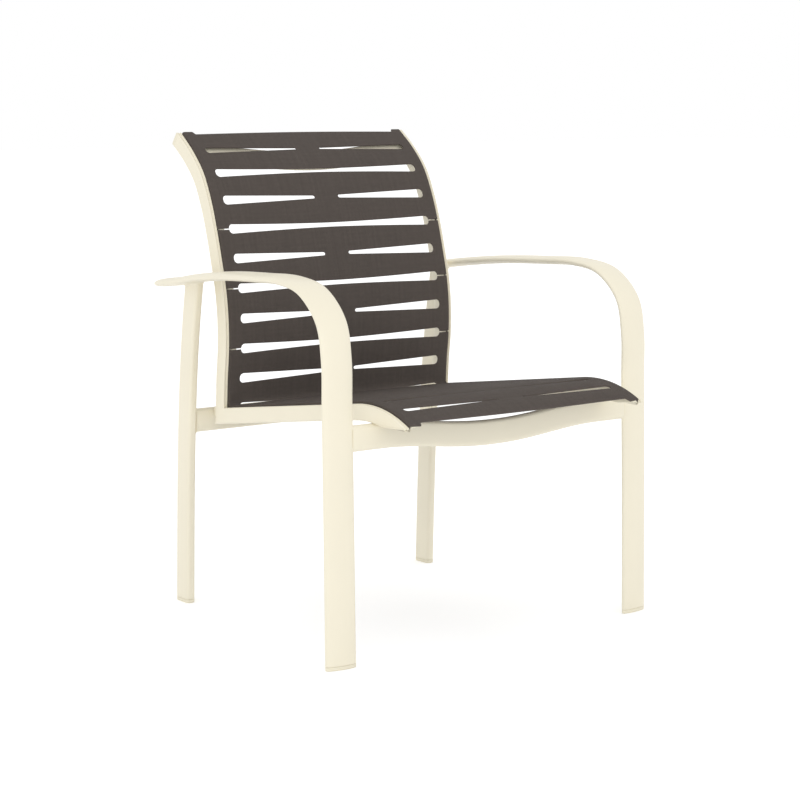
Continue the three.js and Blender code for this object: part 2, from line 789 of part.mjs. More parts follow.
function slingPanel(firstSlot, lastSlot) {
  const columns = slingColumns();
  const { rows, isWhole } = panelRows(firstSlot, lastSlot);
  const points = [];
  const numbers = new Map();
  const number = (row, column, isBack) => {
    const key = `${row} ${column} ${isBack}`;
    if (!numbers.has(key)) {
      const c = columns[column];
      const [x, depth] = isBack ? [c.back, c.backDepth] : [c.x, c.depth];
      numbers.set(key, points.length);
      points.push(onSling(c.sign * x, rows[row](c), depth));
    }
    return numbers.get(key);
  };
  const filled = (row, column) => {
    if (row < 0 || row >= rows.length - 1 || column < 0 || column >= columns.length - 1) return false;
    const [a, b] = [columns[column], columns[column + 1]];
    return isWhole[row](Math.abs(a.sign * a.x + b.sign * b.x) / 2);
  };
  const faces = [];
  const quad = (a, b, c, d) => faces.push([a, b, c], [a, c, d]);
  for (let r = 0; r < rows.length - 1; r += 1) {
    for (let c = 0; c < columns.length - 1; c += 1) {
      if (!filled(r, c)) continue;
      const ring = [[r, c], [r, c + 1], [r + 1, c + 1], [r + 1, c]];
      const beside = [[r - 1, c], [r, c + 1], [r + 1, c], [r, c - 1]];
      quad(...ring.map(([i, j]) => number(i, j, false)));
      quad(...ring.map(([i, j]) => number(i, j, true)).reverse());
      beside.forEach(([i, j], side) => {
        if (filled(i, j)) return;
        const [a, b] = [ring[side], ring[(side + 1) % ring.length]];
        quad(number(...b, false), number(...a, false), number(...a, true), number(...b, true));
      });
    }
  }
  return closedMesh(points, faces);
}

// The spline rods in the grooves, one on each side of each panel

function splineRod(firstSlot, lastSlot) {
  const from = firstSlot < 1 ? backRailEnd + gap : slotCentre(firstSlot) + seamGap;
  const to = lastSlot > slotCount ? seatEnd : slotCentre(lastSlot) - seamGap;
  const stations = slotStations(from, lastSlot === cornerSlot ? -seamGap : to);
  const outline = disc(splineRadius, splineSides);
  const centre = new THREE.Vector2(grooveCentre, pocketDepth);
  for (const p of outline) p.add(centre);
  const whole = alongRail(outline, stations);
  return lastSlot > slotCount ? cut(whole, pastSeatEnd(railCap.thickness + gap)) : whole;
}

// Brackets inside the seat rails, and the bolts through them into the rails

const bracketEnds = {
  front: cornerReach - bracket.overlap,
  rear: rearBarReach - crossBar.thickness / 2 - gap,
};
const bracketCentre = cornerHeight - bracket.drop;
const bracketOutside = railInside - gap;
const bracketInside = bracketOutside - bracket.thickness;

function sideRing(outline, x, reach) {
  return outline.map((p) => new THREE.Vector3(-x, reach + p.x, bracketCentre + p.y));
}

function bracketPlate() {
  const { front, rear } = bracketEnds;
  const outline = roundedBar(rear - front, bracket.height, bracket.corner);
  const rings = [bracketInside, bracketOutside].map((x) => sideRing(outline, x, (front + rear) / 2));
  return loft(rings, outline);
}

const boltReaches = [bracketEnds.front + boltLead, bracketEnds.front + boltLead + boltSpacing];

function boltHole(reach) {
  const outline = disc(bolt.radius + gap, boltSides);
  const ends = [bracketInside - overrun, railInside + bolt.grip + gap];
  return loft(ends.map((x) => sideRing(outline, x, reach)), outline);
}

function boltBody(reach) {
  const seat = bracketInside - gap;
  const rings = [
    sideRing(disc(bolt.crownRadius, boltSides), seat - bolt.headHeight, reach),
    sideRing(disc(bolt.headRadius, boltSides), seat - bolt.headHeight + bolt.chamfer, reach),
    sideRing(disc(bolt.headRadius, boltSides), seat, reach),
    sideRing(disc(bolt.radius, boltSides), seat, reach),
    sideRing(disc(bolt.radius, boltSides), railInside + bolt.grip, reach),
  ];
  return loft(rings, disc(bolt.radius, boltSides));
}

// Assembly

const chair = new THREE.Group();
chair.name = 'sling_patio_chair';

function add(name, geometry, finish) {
  const mesh = new THREE.Mesh(geometry, new THREE.MeshStandardMaterial(finish));
  mesh.name = name;
  chair.add(mesh);
}

function addPair(name, geometry, finish) {
  add(`left_${name}`, geometry, finish);
  add(`right_${name}`, mirrored(geometry), finish);
}

const holes = boltReaches.map(boltHole);
addPair('arm_and_front_leg', armBody(), cream);
addPair('rear_leg', rearLeg(), cream);
addPair('front_glide', frontGlide(), nylon);
addPair('rear_glide', rearGlide(), nylon);
add('front_crossbar', frontCrossBar(), cream);
add('rear_crossbar', rearCrossBar(), cream);
add('top_crossbar', topCrossBar(), cream);
addPair('back_rail', backRail(), cream);
addPair('seat_rail', cut(seatRail(), ...holes), cream);
addPair('back_rail_cap', backCap(), nylon);
addPair('seat_rail_cap', seatCap(), nylon);
addPair('rail_bracket', cut(bracketPlate(), ...holes), cream);

const panels = [
  ['top_back', 0, 4], ['upper_back', 4, 6], ['middle_back', 6, 8], ['lower_back', 8, 10],
  ['rear_seat', 10, 12], ['middle_seat', 12, 14], ['forward_seat', 14, 16],
  ['front_seat', 16, slotCount + 1],
];
for (const [name, first, last] of panels) {
  add(`${name}_panel`, slingPanel(first, last), darkWeave);
  addPair(`${name}_spline`, splineRod(first, last), rod);
}

boltReaches.forEach((reach, i) => addPair(`bracket_bolt_${i + 1}`, boltBody(reach), steel));

// The origin goes under the middle of the bounding box
const box = new THREE.Box3().setFromObject(chair);
chair.position.y = -(box.min.y + box.max.y) / 2;

export default chair;
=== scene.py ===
"""Looks of a sling patio chair: smooth bent bars and rails, and a woven, slotted sling.

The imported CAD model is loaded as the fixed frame. The shapes below repeat its formulas
in millimetres with finer steps, and go into Blender in metres, in the same place.
"""

import math

import bpy
import numpy as np
from bpy.props import FloatProperty, FloatVectorProperty, PointerProperty
from mathutils import Matrix, Vector


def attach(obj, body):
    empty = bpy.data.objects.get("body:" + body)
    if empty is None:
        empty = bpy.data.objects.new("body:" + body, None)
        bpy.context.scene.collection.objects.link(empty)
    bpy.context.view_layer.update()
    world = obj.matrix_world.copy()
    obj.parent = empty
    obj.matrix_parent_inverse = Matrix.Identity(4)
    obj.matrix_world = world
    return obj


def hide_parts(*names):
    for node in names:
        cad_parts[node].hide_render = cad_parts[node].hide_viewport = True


bl_info = {
    "name": "Sling patio chair",
    "version": (1, 0, 0),
    "blender": (4, 5, 0),
    "location": "View3D > Sidebar > Sling chair",
    "description": "Builds the looks of a welded patio armchair with a slotted sling",
    "category": "Object",
}

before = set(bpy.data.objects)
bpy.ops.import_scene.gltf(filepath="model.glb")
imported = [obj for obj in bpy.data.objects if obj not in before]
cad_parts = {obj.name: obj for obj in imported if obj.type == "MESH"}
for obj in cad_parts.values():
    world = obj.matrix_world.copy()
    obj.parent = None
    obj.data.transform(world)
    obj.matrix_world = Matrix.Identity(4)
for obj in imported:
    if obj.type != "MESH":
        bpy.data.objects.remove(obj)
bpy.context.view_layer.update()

MM = 0.001
WHITE = (1.0, 1.0, 1.0)
BOX_MIDDLE = 266.819  # the box's middle lies this far behind the front feet's line

# Side rails
RAIL_WIDTH, RAIL_DEPTH = 21.5, 30.0
RAIL_INSIDE = 217.5
RAIL_FACE_DEPTH, RAIL_FRONT_EDGE = 2.7, 1.25
RAIL_INNER_CORNER, RAIL_OUTER_CORNER, RAIL_SHOULDER = 6.5, 3.5, 1.8
RAIL_FLAT, RAIL_SLOPE = 6.0, (8.6, 3.3)
GROOVE_CENTRE = RAIL_WIDTH - 9.7
GROOVE_MOUTH, GROOVE_LEAD, GROOVE_FLOOR = 2.7, 5.7, 20.0
GROOVE_LEAN, GROOVE_LEAN_LENGTH = 1.7, 200.0
POCKET_DEPTH, POCKET_RADIUS = 12.9, 3.3
BEAD_TOP, BEAD_RADIUS = 4.0, 1.2
CHANNEL_DEPTH, CHANNEL_SLOPE = 5.9, 1.0
# Distance along the sling from the corner, and the rail's depth there as a share
DEPTH_SHARES = np.array([[-280, 1], [-60, 1.03], [60, 1.03], [300, 0.97], [440, 1]])
MITER_REACH = 19.0
CAP_THICKNESS, BACK_CAP_PROUD = 4.0, 4.0
SEAT_CUT_DEPTH, SEAT_CUT_LENGTH, SEAT_CUT_LEAD = 11.0, 66.0, 14.0
STRAIGHT_STATIONS = (25.0, 180.0, 330.0)
TURN_FROM, TURN_STEP = 350.0, 5.0

# The sling
BACK_PITCH, SEAT_PITCH = 50.8, 51.25
SLOTS, CORNER_SLOT, CORNER_LEAD = 19, 10, 6.5
SLOT_REACH = RAIL_INSIDE - 7.9
END_SLOT_REACH = SLOT_REACH - 2.0
BRIDGE_HALF, BRIDGE_ROUND, BRIDGE_EASE = 24.5, 2.4, 3.0
LEAST_HALF, STEEPEST = 0.3, 0.3
FULL_POWER = 1.6
END_ROUND, END_SLOT_ROUND = 7.0, 5.2
# Reach across, width at both ends, width in the middle, radius of the ends
HALF_SLOT = (SLOT_REACH, 16.0, 3.8, END_ROUND)
FULL_SLOT = (SLOT_REACH, 16.0, 7.3, END_ROUND)
OWN_SLOTS = {
    1: (END_SLOT_REACH, 12.7, 2.4, END_SLOT_ROUND),
    CORNER_SLOT: (SLOT_REACH, 17.2, 7.3, END_ROUND),
    SLOTS - 1: (SLOT_REACH, 11.4, 1.6, END_SLOT_ROUND),
    SLOTS: (END_SLOT_REACH, 12.7, 0.96, END_SLOT_ROUND),
}
PANELS = (("top_back", 0, 4), ("upper_back", 4, 6), ("middle_back", 6, 8), ("lower_back", 8, 10),
          ("rear_seat", 10, 12), ("middle_seat", 12, 14), ("forward_seat", 14, 16),
          ("front_seat", 16, SLOTS + 1))
SEAM_HALF, SEAM_EASE = 0.95, 1.2
EAR_LENGTH = 50.0
EAR_STEP, FRONT_STEP = 7.0, 8.3
EAR_CORNER, EAR_CURVE = 3.5, 5.0
EAR_MIDDLE, EAR_WIDTH, EAR_SLANT = 219.0, 21.0, 3.2
END_BULGE = 2.8
SEAT_CROWN, BACK_CROWN = 1.2, 0.3
CROWN_FADE = 40.0
HEM_FROM, HEM_OVER, HEM_REACH = 212.0, 15.0, 12.0
BAND_FLAT = RAIL_INSIDE + 10.0
GROOVE_WALL = RAIL_INSIDE + GROOVE_CENTRE + GROOVE_MOUTH / 2
CLOTH = 2.4  # thick
ROLL, ROLL_FLOOR = 0.6, 0.08  # reach of the rims' rounding, least share of the thickness

# The sling's face line, seen from the side
SEAT_OVERHANG, CORNER_HEIGHT = 84.6, 352.6
SEAT_RISE, SEAT_STRAIGHT, WATERFALL = math.radians(7.3), 380.0, 230.0
FILLET = 5.0
BACK_HEIGHT, BACK_LEAN = 455.4, 136.0
BACK_SHARES = np.array([
    [0, 0], [-0.0235, 0.096], [-0.0665, 0.206], [-0.069, 0.3186], [-0.026, 0.4286],
    [0.064, 0.5384], [0.164, 0.6463], [0.289, 0.751], [0.462, 0.8515], [0.71, 0.932], [1, 1],
])

# Arm bars, rear legs, cross bars, glides
ARM_WIDTH, ARM_THICKNESS = 52.5, 14.5
OVAL_POWER = 2.3
FRONT_SPREAD = RAIL_INSIDE + RAIL_WIDTH + 35.5 + ARM_WIDTH / 2
TIP_SPREAD = RAIL_INSIDE + RAIL_WIDTH + 10
TIP_PAST_FOOT, ARM_HEIGHT = 85.5, 583.8
ARM_BOW, ARM_BOW_SHARE = 2.0, 0.46
TOE_OUT, TOE_LOSS, ARM_ROLL = math.radians(5.8), 0.4, math.radians(2.2)
ARM_LEAN, LEAN_HEIGHT, LEAN_POWER = 1.7, 500.0, 1.3
TIP_TAPER, TIP_ROUNDING, TIP_SHARE = 38.0, 42.0, 0.10
LAST_SHARE, TIP_TRIM, TIP_EASE = 0.9985, 10.0, 1.9
FOOT_SHARE, WAY_SHARE, BEND_FROM, BEND_TO = 0.008, 0.012, 0.30, 0.62  # of the bar's length
ARM_SHARES = np.array([
    [0.0035, 0], [0.0068, 0.4296], [0.0102, 0.6864], [0.0116, 0.8086], [0.0328, 0.9045],
    [0.1105, 0.9776], [0.2103, 0.9998], [0.3531, 0.9988], [0.53, 0.9913], [0.7064, 0.9740],
    [0.8339, 0.9556], [0.9055, 0.9482], [1, 0.9372],
])
LEG_WIDTH, LEG_THICKNESS = 16.0, 40.0
BAR_CORNER = 5.5
LEG_SPREAD = RAIL_INSIDE + RAIL_WIDTH + 12.6 + LEG_WIDTH / 2
FOOT_BEHIND = 107.3
LEG_LEAN, LEG_BEND, LEG_BEND_POWER = 0.045, 31.0, 3.6
LEG_TOP_SHARE = 0.94  # of the arm's height
BAR_THICKNESS, BAR_HEIGHT = 14.0, 38.0
FRONT_SAG, FRONT_SAG_POWER, FRONT_SETBACK, FRONT_EXTRA = 15.2, 1.08, 2.5, 2.0
REAR_BAR_AHEAD, REAR_BAR_DROP, REAR_BAR_EXTRA = 10.0, 33.0, 2.0
TOP_SAG, TOP_DEPTH, TOP_RISE = 20.0, 15.0, 2.6
GLIDE_HEIGHT, FOOT_TOP = 6.0, 6.3
GAP = 0.3
BRACKET_THICKNESS, BRACKET_OVERLAP, BRACKET_DROP = 5.0, 36.0, 19.6
BOLT_LEAD, BOLT_SPACING = 10.0, 32.0
CREVICE_DEPTH, CREVICE_HALF = 5.0, 14.0
CREVICE_STEPS = np.array([0.6, 0.9, 2.5, 2.8])

# The stage, in metres and radians
FLOOR_REACH = 40.0
LAMP_PLACE, LAMP_AIM, LAMP_SIZE = Vector((-2.3, -3.1, 0.7)), Vector((0, 0, 0.4)), 3.2
CAMERA_PLACE = Vector((-2.04648, -2.79291, 0.84161))
CAMERA_ANGLES = (0.63454, -0.13867, -0.00658)

# Profiles: how far in from the outline and up, or from a piece's end and out
FOOT_EDGE = ((0.5, 0.0), (0.15, 0.2), (0.0, 0.5))
GLIDE_EDGE = ((1.6, 0.0), (1.1, 0.1), (0.5, 0.4), (0.12, 0.9), (0.0, 1.6), (0.0, 5.6), (0.15, 5.9),
              (0.5, GLIDE_HEIGHT))
WELD_REACH = 6.0
LEG_WELD = ((WELD_REACH, 0.0), (3.2, 0.1), (2.2, 0.35), (1.4, 0.75), (0.8, 1.25), (0.3, 1.9),
            (-0.4, 2.6), (-2.0, 2.6))
BAR_WELD = np.array([[3.0, 0.1], [2.0, 0.35], [1.3, 0.75], [0.7, 1.2], [0.25, 1.8], [0.0, 2.3],
                     [-0.6, 2.3]])
CAP_EDGE = ((1.6, 0.0), (0.9, 0.15), (0.4, 0.5), (0.1, 1.0), (0.0, 1.6))
SOCKET_TURNS = ((0.35, 1.9), (0.35, 2.1), (2.9, 2.3), (3.2, 2.6))
HEAD_TURNS = ((3.2, 3.1), (3.05, 3.7), (2.6, 4.5), (1.9, 5.1), (1.1, 5.4), (0.2, 5.4), (0, 5.2),
              (0, 3.0), (-9, 3.0))


def srgb(red, green, blue):
    """A colour of 0 to 255 as Blender's linear values."""
    share = np.array([red, green, blue]) / 255
    linear = np.where(share <= 0.04045, share / 12.92, ((share + 0.055) / 1.055) ** 2.4)
    return tuple(float(v) for v in linear)


# Lines that the pieces follow

def stacked(*axes):
    """Points from their coordinates, spread to one shape."""
    return np.stack(np.broadcast_arrays(*axes), -1)


def from_side(x, place):
    """Points from x across and their places seen from the side."""
    return stacked(x, place[..., 0], place[..., 1])


def behind(way):
    """The direction a quarter turn from a way: from the sling's face into the rail."""
    return np.stack([-way[..., 1], way[..., 0]], -1)


def turned(points, angle):
    """Points turned about the origin by an angle each."""
    c, s = np.cos(angle)[..., None], np.sin(angle)[..., None]
    x, y = points[..., :1], points[..., 1:]
    return np.concatenate([x * c - y * s, x * s + y * c], -1)


def slot_centre(k):
    """Distance along the sling of slot k's centre from the corner."""
    return CORNER_LEAD + (k - CORNER_SLOT) * (SEAT_PITCH if k > CORNER_SLOT else BACK_PITCH)


BACK_END = slot_centre(1) - EAR_LENGTH
SEAT_END = slot_centre(SLOTS) + EAR_LENGTH
CUT_START = SEAT_END - SEAT_CUT_LENGTH - SEAT_CUT_LEAD
BACK_RAIL_END = BACK_END + CAP_THICKNESS
SEAT_WAY = np.array([-math.cos(SEAT_RISE), math.sin(SEAT_RISE)])


def seat_line(s):
    """From the corner forward: straight, then a turn of constant radius at the front."""
    angle = np.maximum(0, s - SEAT_STRAIGHT) / WATERFALL
    straight = np.minimum(s, SEAT_STRAIGHT)[..., None] * SEAT_WAY
    centre = straight + behind(SEAT_WAY) * WATERFALL
    way = turned(np.broadcast_to(SEAT_WAY, straight.shape), angle)
    return centre + turned(straight - centre, angle), way


CORNER = np.array([
    -SEAT_OVERHANG - float(seat_line(np.array(SEAT_END))[0][0]), CORNER_HEIGHT])
FOOT_REACH = CORNER[0] + FOOT_BEHIND
ARM_REACH = FOOT_REACH + TIP_PAST_FOOT


def spans(start, stop, leaving, arriving, steps):
    """Cubic spans from points to points, with the speeds at both ends, in steps each."""
    t = np.linspace(0, 1, steps, endpoint=False)[None, :, None]
    cube = (2 * start - 2 * stop + leaving + arriving) * t ** 3
    square = (-3 * start + 3 * stop - 2 * leaving - arriving) * t ** 2
    return np.concatenate([(cube + square + leaving * t + start).reshape(-1, 2), stop[-1]])


def uniform_curve(ends, steps):
    """A uniform Catmull-Rom curve through all points but the first and the last."""
    p0, p1, p2, p3 = (ends[i:len(ends) - 3 + i, None] for i in range(4))
    return spans(p1, p2, (p2 - p0) / 2, (p3 - p1) / 2, steps)


def centripetal_curve(ends, steps):
    """A centripetal Catmull-Rom curve through all points but the first and the last."""
    roots = np.linalg.norm(np.diff(ends, axis=0), axis=1) ** 0.5
    p0, p1, p2, p3 = (ends[i:len(ends) - 3 + i, None] for i in range(4))
    d0, d1, d2 = (roots[i:len(ends) - 3 + i, None, None] for i in range(3))
    leaving = ((p1 - p0) / d0 - (p2 - p0) / (d0 + d1) + (p2 - p1) / d1) * d1
    arriving = ((p2 - p1) / d1 - (p3 - p1) / (d1 + d2) + (p3 - p2) / d2) * d1
    return spans(p1, p2, leaving, arriving, steps)


def reflected(marks):
    """The points with one more at each end, reflected in the end points."""
    return np.concatenate([[2 * marks[0] - marks[1]], marks, [2 * marks[-1] - marks[-2]]])


def lengths_along(points):
    """The length of a line of points up to each of them."""
    return np.concatenate([[0], np.cumsum(np.linalg.norm(np.diff(points, axis=0), axis=1))])


BACK_MARKS = CORNER + BACK_SHARES * np.array([BACK_LEAN, BACK_HEIGHT])
BACK_POINTS = uniform_curve(np.concatenate([BACK_MARKS[:1], BACK_MARKS, BACK_MARKS[-1:]]), 200)
BACK_LENGTHS = lengths_along(BACK_POINTS)
ARM_POINTS = centripetal_curve(reflected(ARM_SHARES * np.array([ARM_REACH, ARM_HEIGHT])), 300)
ARM_LENGTHS = lengths_along(ARM_POINTS)


def sharp_line(s):
    """Point and way of the face line at s, with a sharp corner at zero."""
    s = np.asarray(s, float)
    seat_point, seat_way = seat_line(np.maximum(s, 0))
    length = np.clip(-s, 0, BACK_LENGTHS[-1])
    slopes = np.gradient(BACK_POINTS, BACK_LENGTHS, axis=0)
    point = np.stack([np.interp(length, BACK_LENGTHS, BACK_POINTS[:, i]) for i in (0, 1)], -1)
    way = -np.stack([np.interp(length, BACK_LENGTHS, slopes[:, i]) for i in (0, 1)], -1)
    way /= np.linalg.norm(way, axis=-1, keepdims=True)
    point = point + way * (s + length)[..., None]
    on_seat = (s > 0)[..., None]
    return np.where(on_seat, seat_point + CORNER, point), np.where(on_seat, seat_way, way)


def sling_line(s):
    """The face line with its corner rounded by a parabola."""
    point, way = sharp_line(s)
    (before, way_in), (after, way_out) = sharp_line(-FILLET), sharp_line(FILLET)
    t = np.clip((np.asarray(s, float) + FILLET) / (2 * FILLET), 0, 1)[..., None]
    curve = (1 - t) ** 2 * before + 2 * (1 - t) * t * CORNER + t ** 2 * after
    turn = (1 - t) * way_in + t * way_out
    turn /= np.linalg.norm(turn, axis=-1, keepdims=True)
    near = (np.abs(s) < FILLET)[..., None]
    return np.where(near, curve, point), np.where(near, turn, way)


def on_sling(x, s, depth):
    """Points at x across, s along and a depth behind the sling's face."""
    point, way = sling_line(s)
    return from_side(x, point + behind(way) * depth[..., None])


def arm_centre(t):
    """The left arm bar's centre line: a bent line from the side, a parabola from above."""
    length = np.clip(t, 0, 1) * ARM_LENGTHS[-1]
    y, z = (np.interp(length, ARM_LENGTHS, ARM_POINTS[:, i]) for i in (0, 1))
    share = np.clip(y / ARM_REACH, 0, 1)
    root = np.sqrt(ARM_BOW_SHARE ** 2 + (1 - 2 * ARM_BOW_SHARE) * share)
    s = share / (ARM_BOW_SHARE + root)
    bow = 2 * (1 - s) * s * (FRONT_SPREAD + ARM_BOW)
    x = -((1 - s) ** 2 * FRONT_SPREAD + bow + s ** 2 * TIP_SPREAD)
    return stacked(x + ARM_LEAN * np.clip(z / LEAN_HEIGHT, 0, 1) ** LEAN_POWER, y, z)


def leg_reach(height):
    """How far back a rear leg's centre lies at a height."""
    return FOOT_REACH - LEG_LEAN * height - LEG_BEND * (height / ARM_HEIGHT) ** LEG_BEND_POWER


# Outlines

def arc(x, y, radius, start, stop, steps):
    """Points on a circle from one angle to another."""
    angle = np.linspace(start, stop, steps + 1)
    return stacked(x + radius * np.cos(angle), y + radius * np.sin(angle))


def oval(width, height, sides=72):
    """A superellipse: sine and cosine raised to 2 / power, by half the sizes."""
    angle = np.arange(sides) * 2 * math.pi / sides
    wave = stacked(np.cos(angle), np.sin(angle))
    return np.sign(wave) * np.abs(wave) ** (2 / OVAL_POWER) * np.array([width, height]) / 2


def rounded_bar(width, height, corner, steps=7, face_steps=0):
    """A rectangle with four quarter circles for corners, and points along its left side."""
    quarter = math.pi / 2
    signs = ((1, 1), (-1, 1), (-1, -1), (1, -1))
    corners = [arc(sx * (width / 2 - corner), sy * (height / 2 - corner), corner,
                   i * quarter, (i + 1) * quarter, steps)
               for i, (sx, sy) in enumerate(signs)]
    down = np.linspace(1, -1, face_steps + 2)[1:-1] * (height / 2 - corner)
    return np.concatenate([*corners[:2], stacked(-width / 2, down), *corners[2:]])


def rail_outline():
    """The rail's section: x outwards from its inner face, y behind the sling's face."""
    quarter, half = math.pi / 2, math.pi
    inner_wall, outer_wall = GROOVE_CENTRE - GROOVE_MOUTH / 2, GROOVE_CENTRE + GROOVE_MOUTH / 2
    mouth = math.asin(GROOVE_MOUTH / 2 / POCKET_RADIUS)
    bead_centre = outer_wall + BEAD_RADIUS
    shoulder = RAIL_WIDTH - RAIL_SHOULDER
    start = shoulder - RAIL_SHOULDER * math.cos(quarter / 2)
    edge = RAIL_FRONT_EDGE
    return np.concatenate([
        arc(edge, RAIL_FACE_DEPTH + edge, edge, half, half + quarter, 5),
        [[RAIL_FLAT, RAIL_FACE_DEPTH], list(RAIL_SLOPE), [inner_wall, GROOVE_LEAD]],
        arc(GROOVE_CENTRE, POCKET_DEPTH, POCKET_RADIUS,
            -quarter - mouth, mouth - quarter - 4 * quarter, 16),
        arc(bead_centre, BEAD_TOP + BEAD_RADIUS, BEAD_RADIUS, half, 2 * half, 10),
        [[bead_centre + BEAD_RADIUS + CHANNEL_SLOPE, CHANNEL_DEPTH],
         [start - CHANNEL_SLOPE, CHANNEL_DEPTH]],
        arc(shoulder, BEAD_TOP + RAIL_SHOULDER, RAIL_SHOULDER, half + quarter / 2, 2 * half, 8),
        arc(RAIL_WIDTH - RAIL_OUTER_CORNER, RAIL_DEPTH - RAIL_OUTER_CORNER,
            RAIL_OUTER_CORNER, 0, quarter, 7),
        arc(RAIL_INNER_CORNER, RAIL_DEPTH - RAIL_INNER_CORNER,
            RAIL_INNER_CORNER, quarter, half, 9),
    ])


# Meshes

def outward(points, quads, ends):
    """The faces wound so that the closed mesh's volume, summed from the origin, is positive."""
    triangles = [quads[:, [0, 1, 2]], quads[:, [0, 2, 3]]]
    triangles += [stacked(end[0], end[1:-1], end[2:]) for end in ends]
    a, b, c = (points[np.concatenate(triangles)[:, i]] for i in range(3))
    if np.einsum("ij,ij->", a, np.cross(b, c)) < 0:
        return quads[:, ::-1], [end[::-1] for end in ends]
    return quads, ends


def add_piece(name, points, quads, ends, material, node, sharp):
    """A named mesh that replaces a node of the frame: points in millimetres before the
    part's own shift, and edges sharper than an angle in degrees kept sharp."""
    quads, ends = outward(points, quads, ends)
    place = (points - np.array([0, BOX_MIDDLE, 0])) * MM
    mesh = bpy.data.meshes.new(name)
    mesh.from_pydata(place.tolist(), [], quads.tolist() + [end.tolist() for end in ends])
    if mesh.validate():
        raise RuntimeError(f"{name} has faces that are not valid")
    mesh.shade_smooth()
    mesh.set_sharp_from_angle(angle=math.radians(sharp))
    piece = bpy.data.objects.new(name, mesh)
    bpy.context.scene.collection.objects.link(piece)
    mesh.materials.append(material)
    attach(piece, "root")
    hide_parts(node)
    return piece


def add_tube(name, rings, material, node, sharp=38.0):
    """A closed solid from rings of points, rings by points by 3, with flat end faces."""
    count, around = rings.shape[:2]
    number = np.arange(count * around).reshape(count, around)
    beside = np.roll(number, -1, 1)
    quads = stacked(number[:-1], beside[:-1], beside[1:], number[1:]).reshape(-1, 4)
    ends = [number[0, ::-1], number[-1]]
    add_piece(name, rings.reshape(-1, 3), quads, ends, material, node, sharp)


def add_pair(name, rings, material, node, sharp=38.0):
    """The left piece from its rings, and its mirror image in the chair's middle plane."""
    for side, sign in (("left", 1), ("right", -1)):
        add_tube(f"{side}_{name}", rings * np.array([sign, 1, 1]), material, f"{side}_{node}",
                 sharp)


def level_rings(outlines, centre, turn, heights):
    """Level rings round an upright line: outlines turned outwards by an angle."""
    c, s = math.cos(turn), math.sin(turn)
    return np.stack([
        stacked(centre[0] + outline[:, 0] * c - outline[:, 1] * s,
                centre[1] - outline[:, 0] * s - outline[:, 1] * c, height)
        for outline, height in zip(outlines, heights)])


# The bars

def arm_rings():
    """The left arm bar: an oval carried along its line, thinned to a blunt beak at the tip
    by a quarter ellipse in its width and a longer one in its thickness."""
    end = 1 - TIP_TRIM / ARM_LENGTHS[-1]
    eased = 1 - (1 - np.linspace(0, 1, 70)) ** TIP_EASE
    t = np.concatenate([
        np.linspace(FOOT_SHARE, BEND_FROM, 40, endpoint=False),
        np.linspace(BEND_FROM, BEND_TO, 110, endpoint=False),
        BEND_TO + (end * LAST_SHARE - BEND_TO) * eased,
    ])
    along = arm_centre(np.minimum(1, t + WAY_SHARE)) - arm_centre(np.maximum(0, t - WAY_SHARE))
    along /= np.linalg.norm(along, axis=1, keepdims=True)
    toe = TOE_OUT * (1 - TOE_LOSS * np.clip(arm_centre(t)[:, 2] / LEAN_HEIGHT, 0, 1))
    wide = stacked(np.cos(toe) * math.cos(ARM_ROLL), -np.sin(toe) * math.cos(ARM_ROLL),
                   math.sin(ARM_ROLL))
    across = wide - along * (along * wide).sum(1, keepdims=True)
    across /= np.linalg.norm(across, axis=1, keepdims=True)
    left = (end - t) * ARM_LENGTHS[-1]
    outline = oval(ARM_WIDTH, ARM_THICKNESS)
    body = arm_centre(t)[:, None]
    for way, part, length in ((across, outline[None, :, :1], TIP_ROUNDING),
                              (np.cross(across, along), outline[None, :, 1:], TIP_TAPER)):
        grow = np.maximum(TIP_SHARE, np.sqrt(1 - (1 - np.clip(left / length, 0, 1)) ** 2))
        body = body + way[:, None] * (part * grow[:, None, None])
    feet = [oval(ARM_WIDTH - 2 * g, ARM_THICKNESS - 2 * g) for g, _ in FOOT_EDGE]
    foot = level_rings(feet, arm_centre(np.array(0.0)), TOE_OUT,
                       [FOOT_TOP + rise for _, rise in FOOT_EDGE])
    return np.concatenate([foot, body])


def arm_underside(x, y):
    """Height of the left arm's underside: its centre line less half its oval's height."""
    line = arm_centre(np.linspace(0.55, 1, 300))
    u = x - np.interp(y, line[:, 1], line[:, 0])
    z_centre = np.interp(y + u * math.sin(TOE_OUT), line[:, 1], line[:, 2])
    share = np.clip(np.abs(u) / (ARM_WIDTH / 2), 0, 1)
    half = ARM_THICKNESS / 2 * (1 - share ** OVAL_POWER) ** (1 / OVAL_POWER)
    return z_centre + u * math.sin(ARM_ROLL) - half


def rear_leg_rings():
    """The left rear leg: level sections that shear to the arm's underside, with a weld."""
    def ring(grown, height_of):
        outline = rounded_bar(LEG_WIDTH + 2 * grown, LEG_THICKNESS + 2 * grown,
                              BAR_CORNER + grown)
        x = outline[:, 0] - LEG_SPREAD
        height = height_of(arm_underside(x, leg_reach(ARM_HEIGHT * LEG_TOP_SHARE) + outline[:, 1]))
        return stacked(x, leg_reach(height) + outline[:, 1], height)

    foot = [ring(-g, lambda top: np.full_like(top, FOOT_TOP + rise)) for g, rise in FOOT_EDGE]
    body = [ring(0.0, lambda top: FOOT_TOP + (top - WELD_REACH - FOOT_TOP) * share)
            for share in np.linspace(0.02, 0.97, 60)]
    weld = [ring(grown, lambda top: top - below) for below, grown in LEG_WELD]
    return np.stack(foot + body + weld)


def drop(x, half_span, sag, power=1.0):
    """A cosine drop from nothing at a span's ends to the whole sag in its middle, over
    the distance from the middle raised to a power."""
    t = np.clip(np.abs(x) / half_span, 0, 1) ** power
    return sag * (1 + np.cos(math.pi * t)) / 2


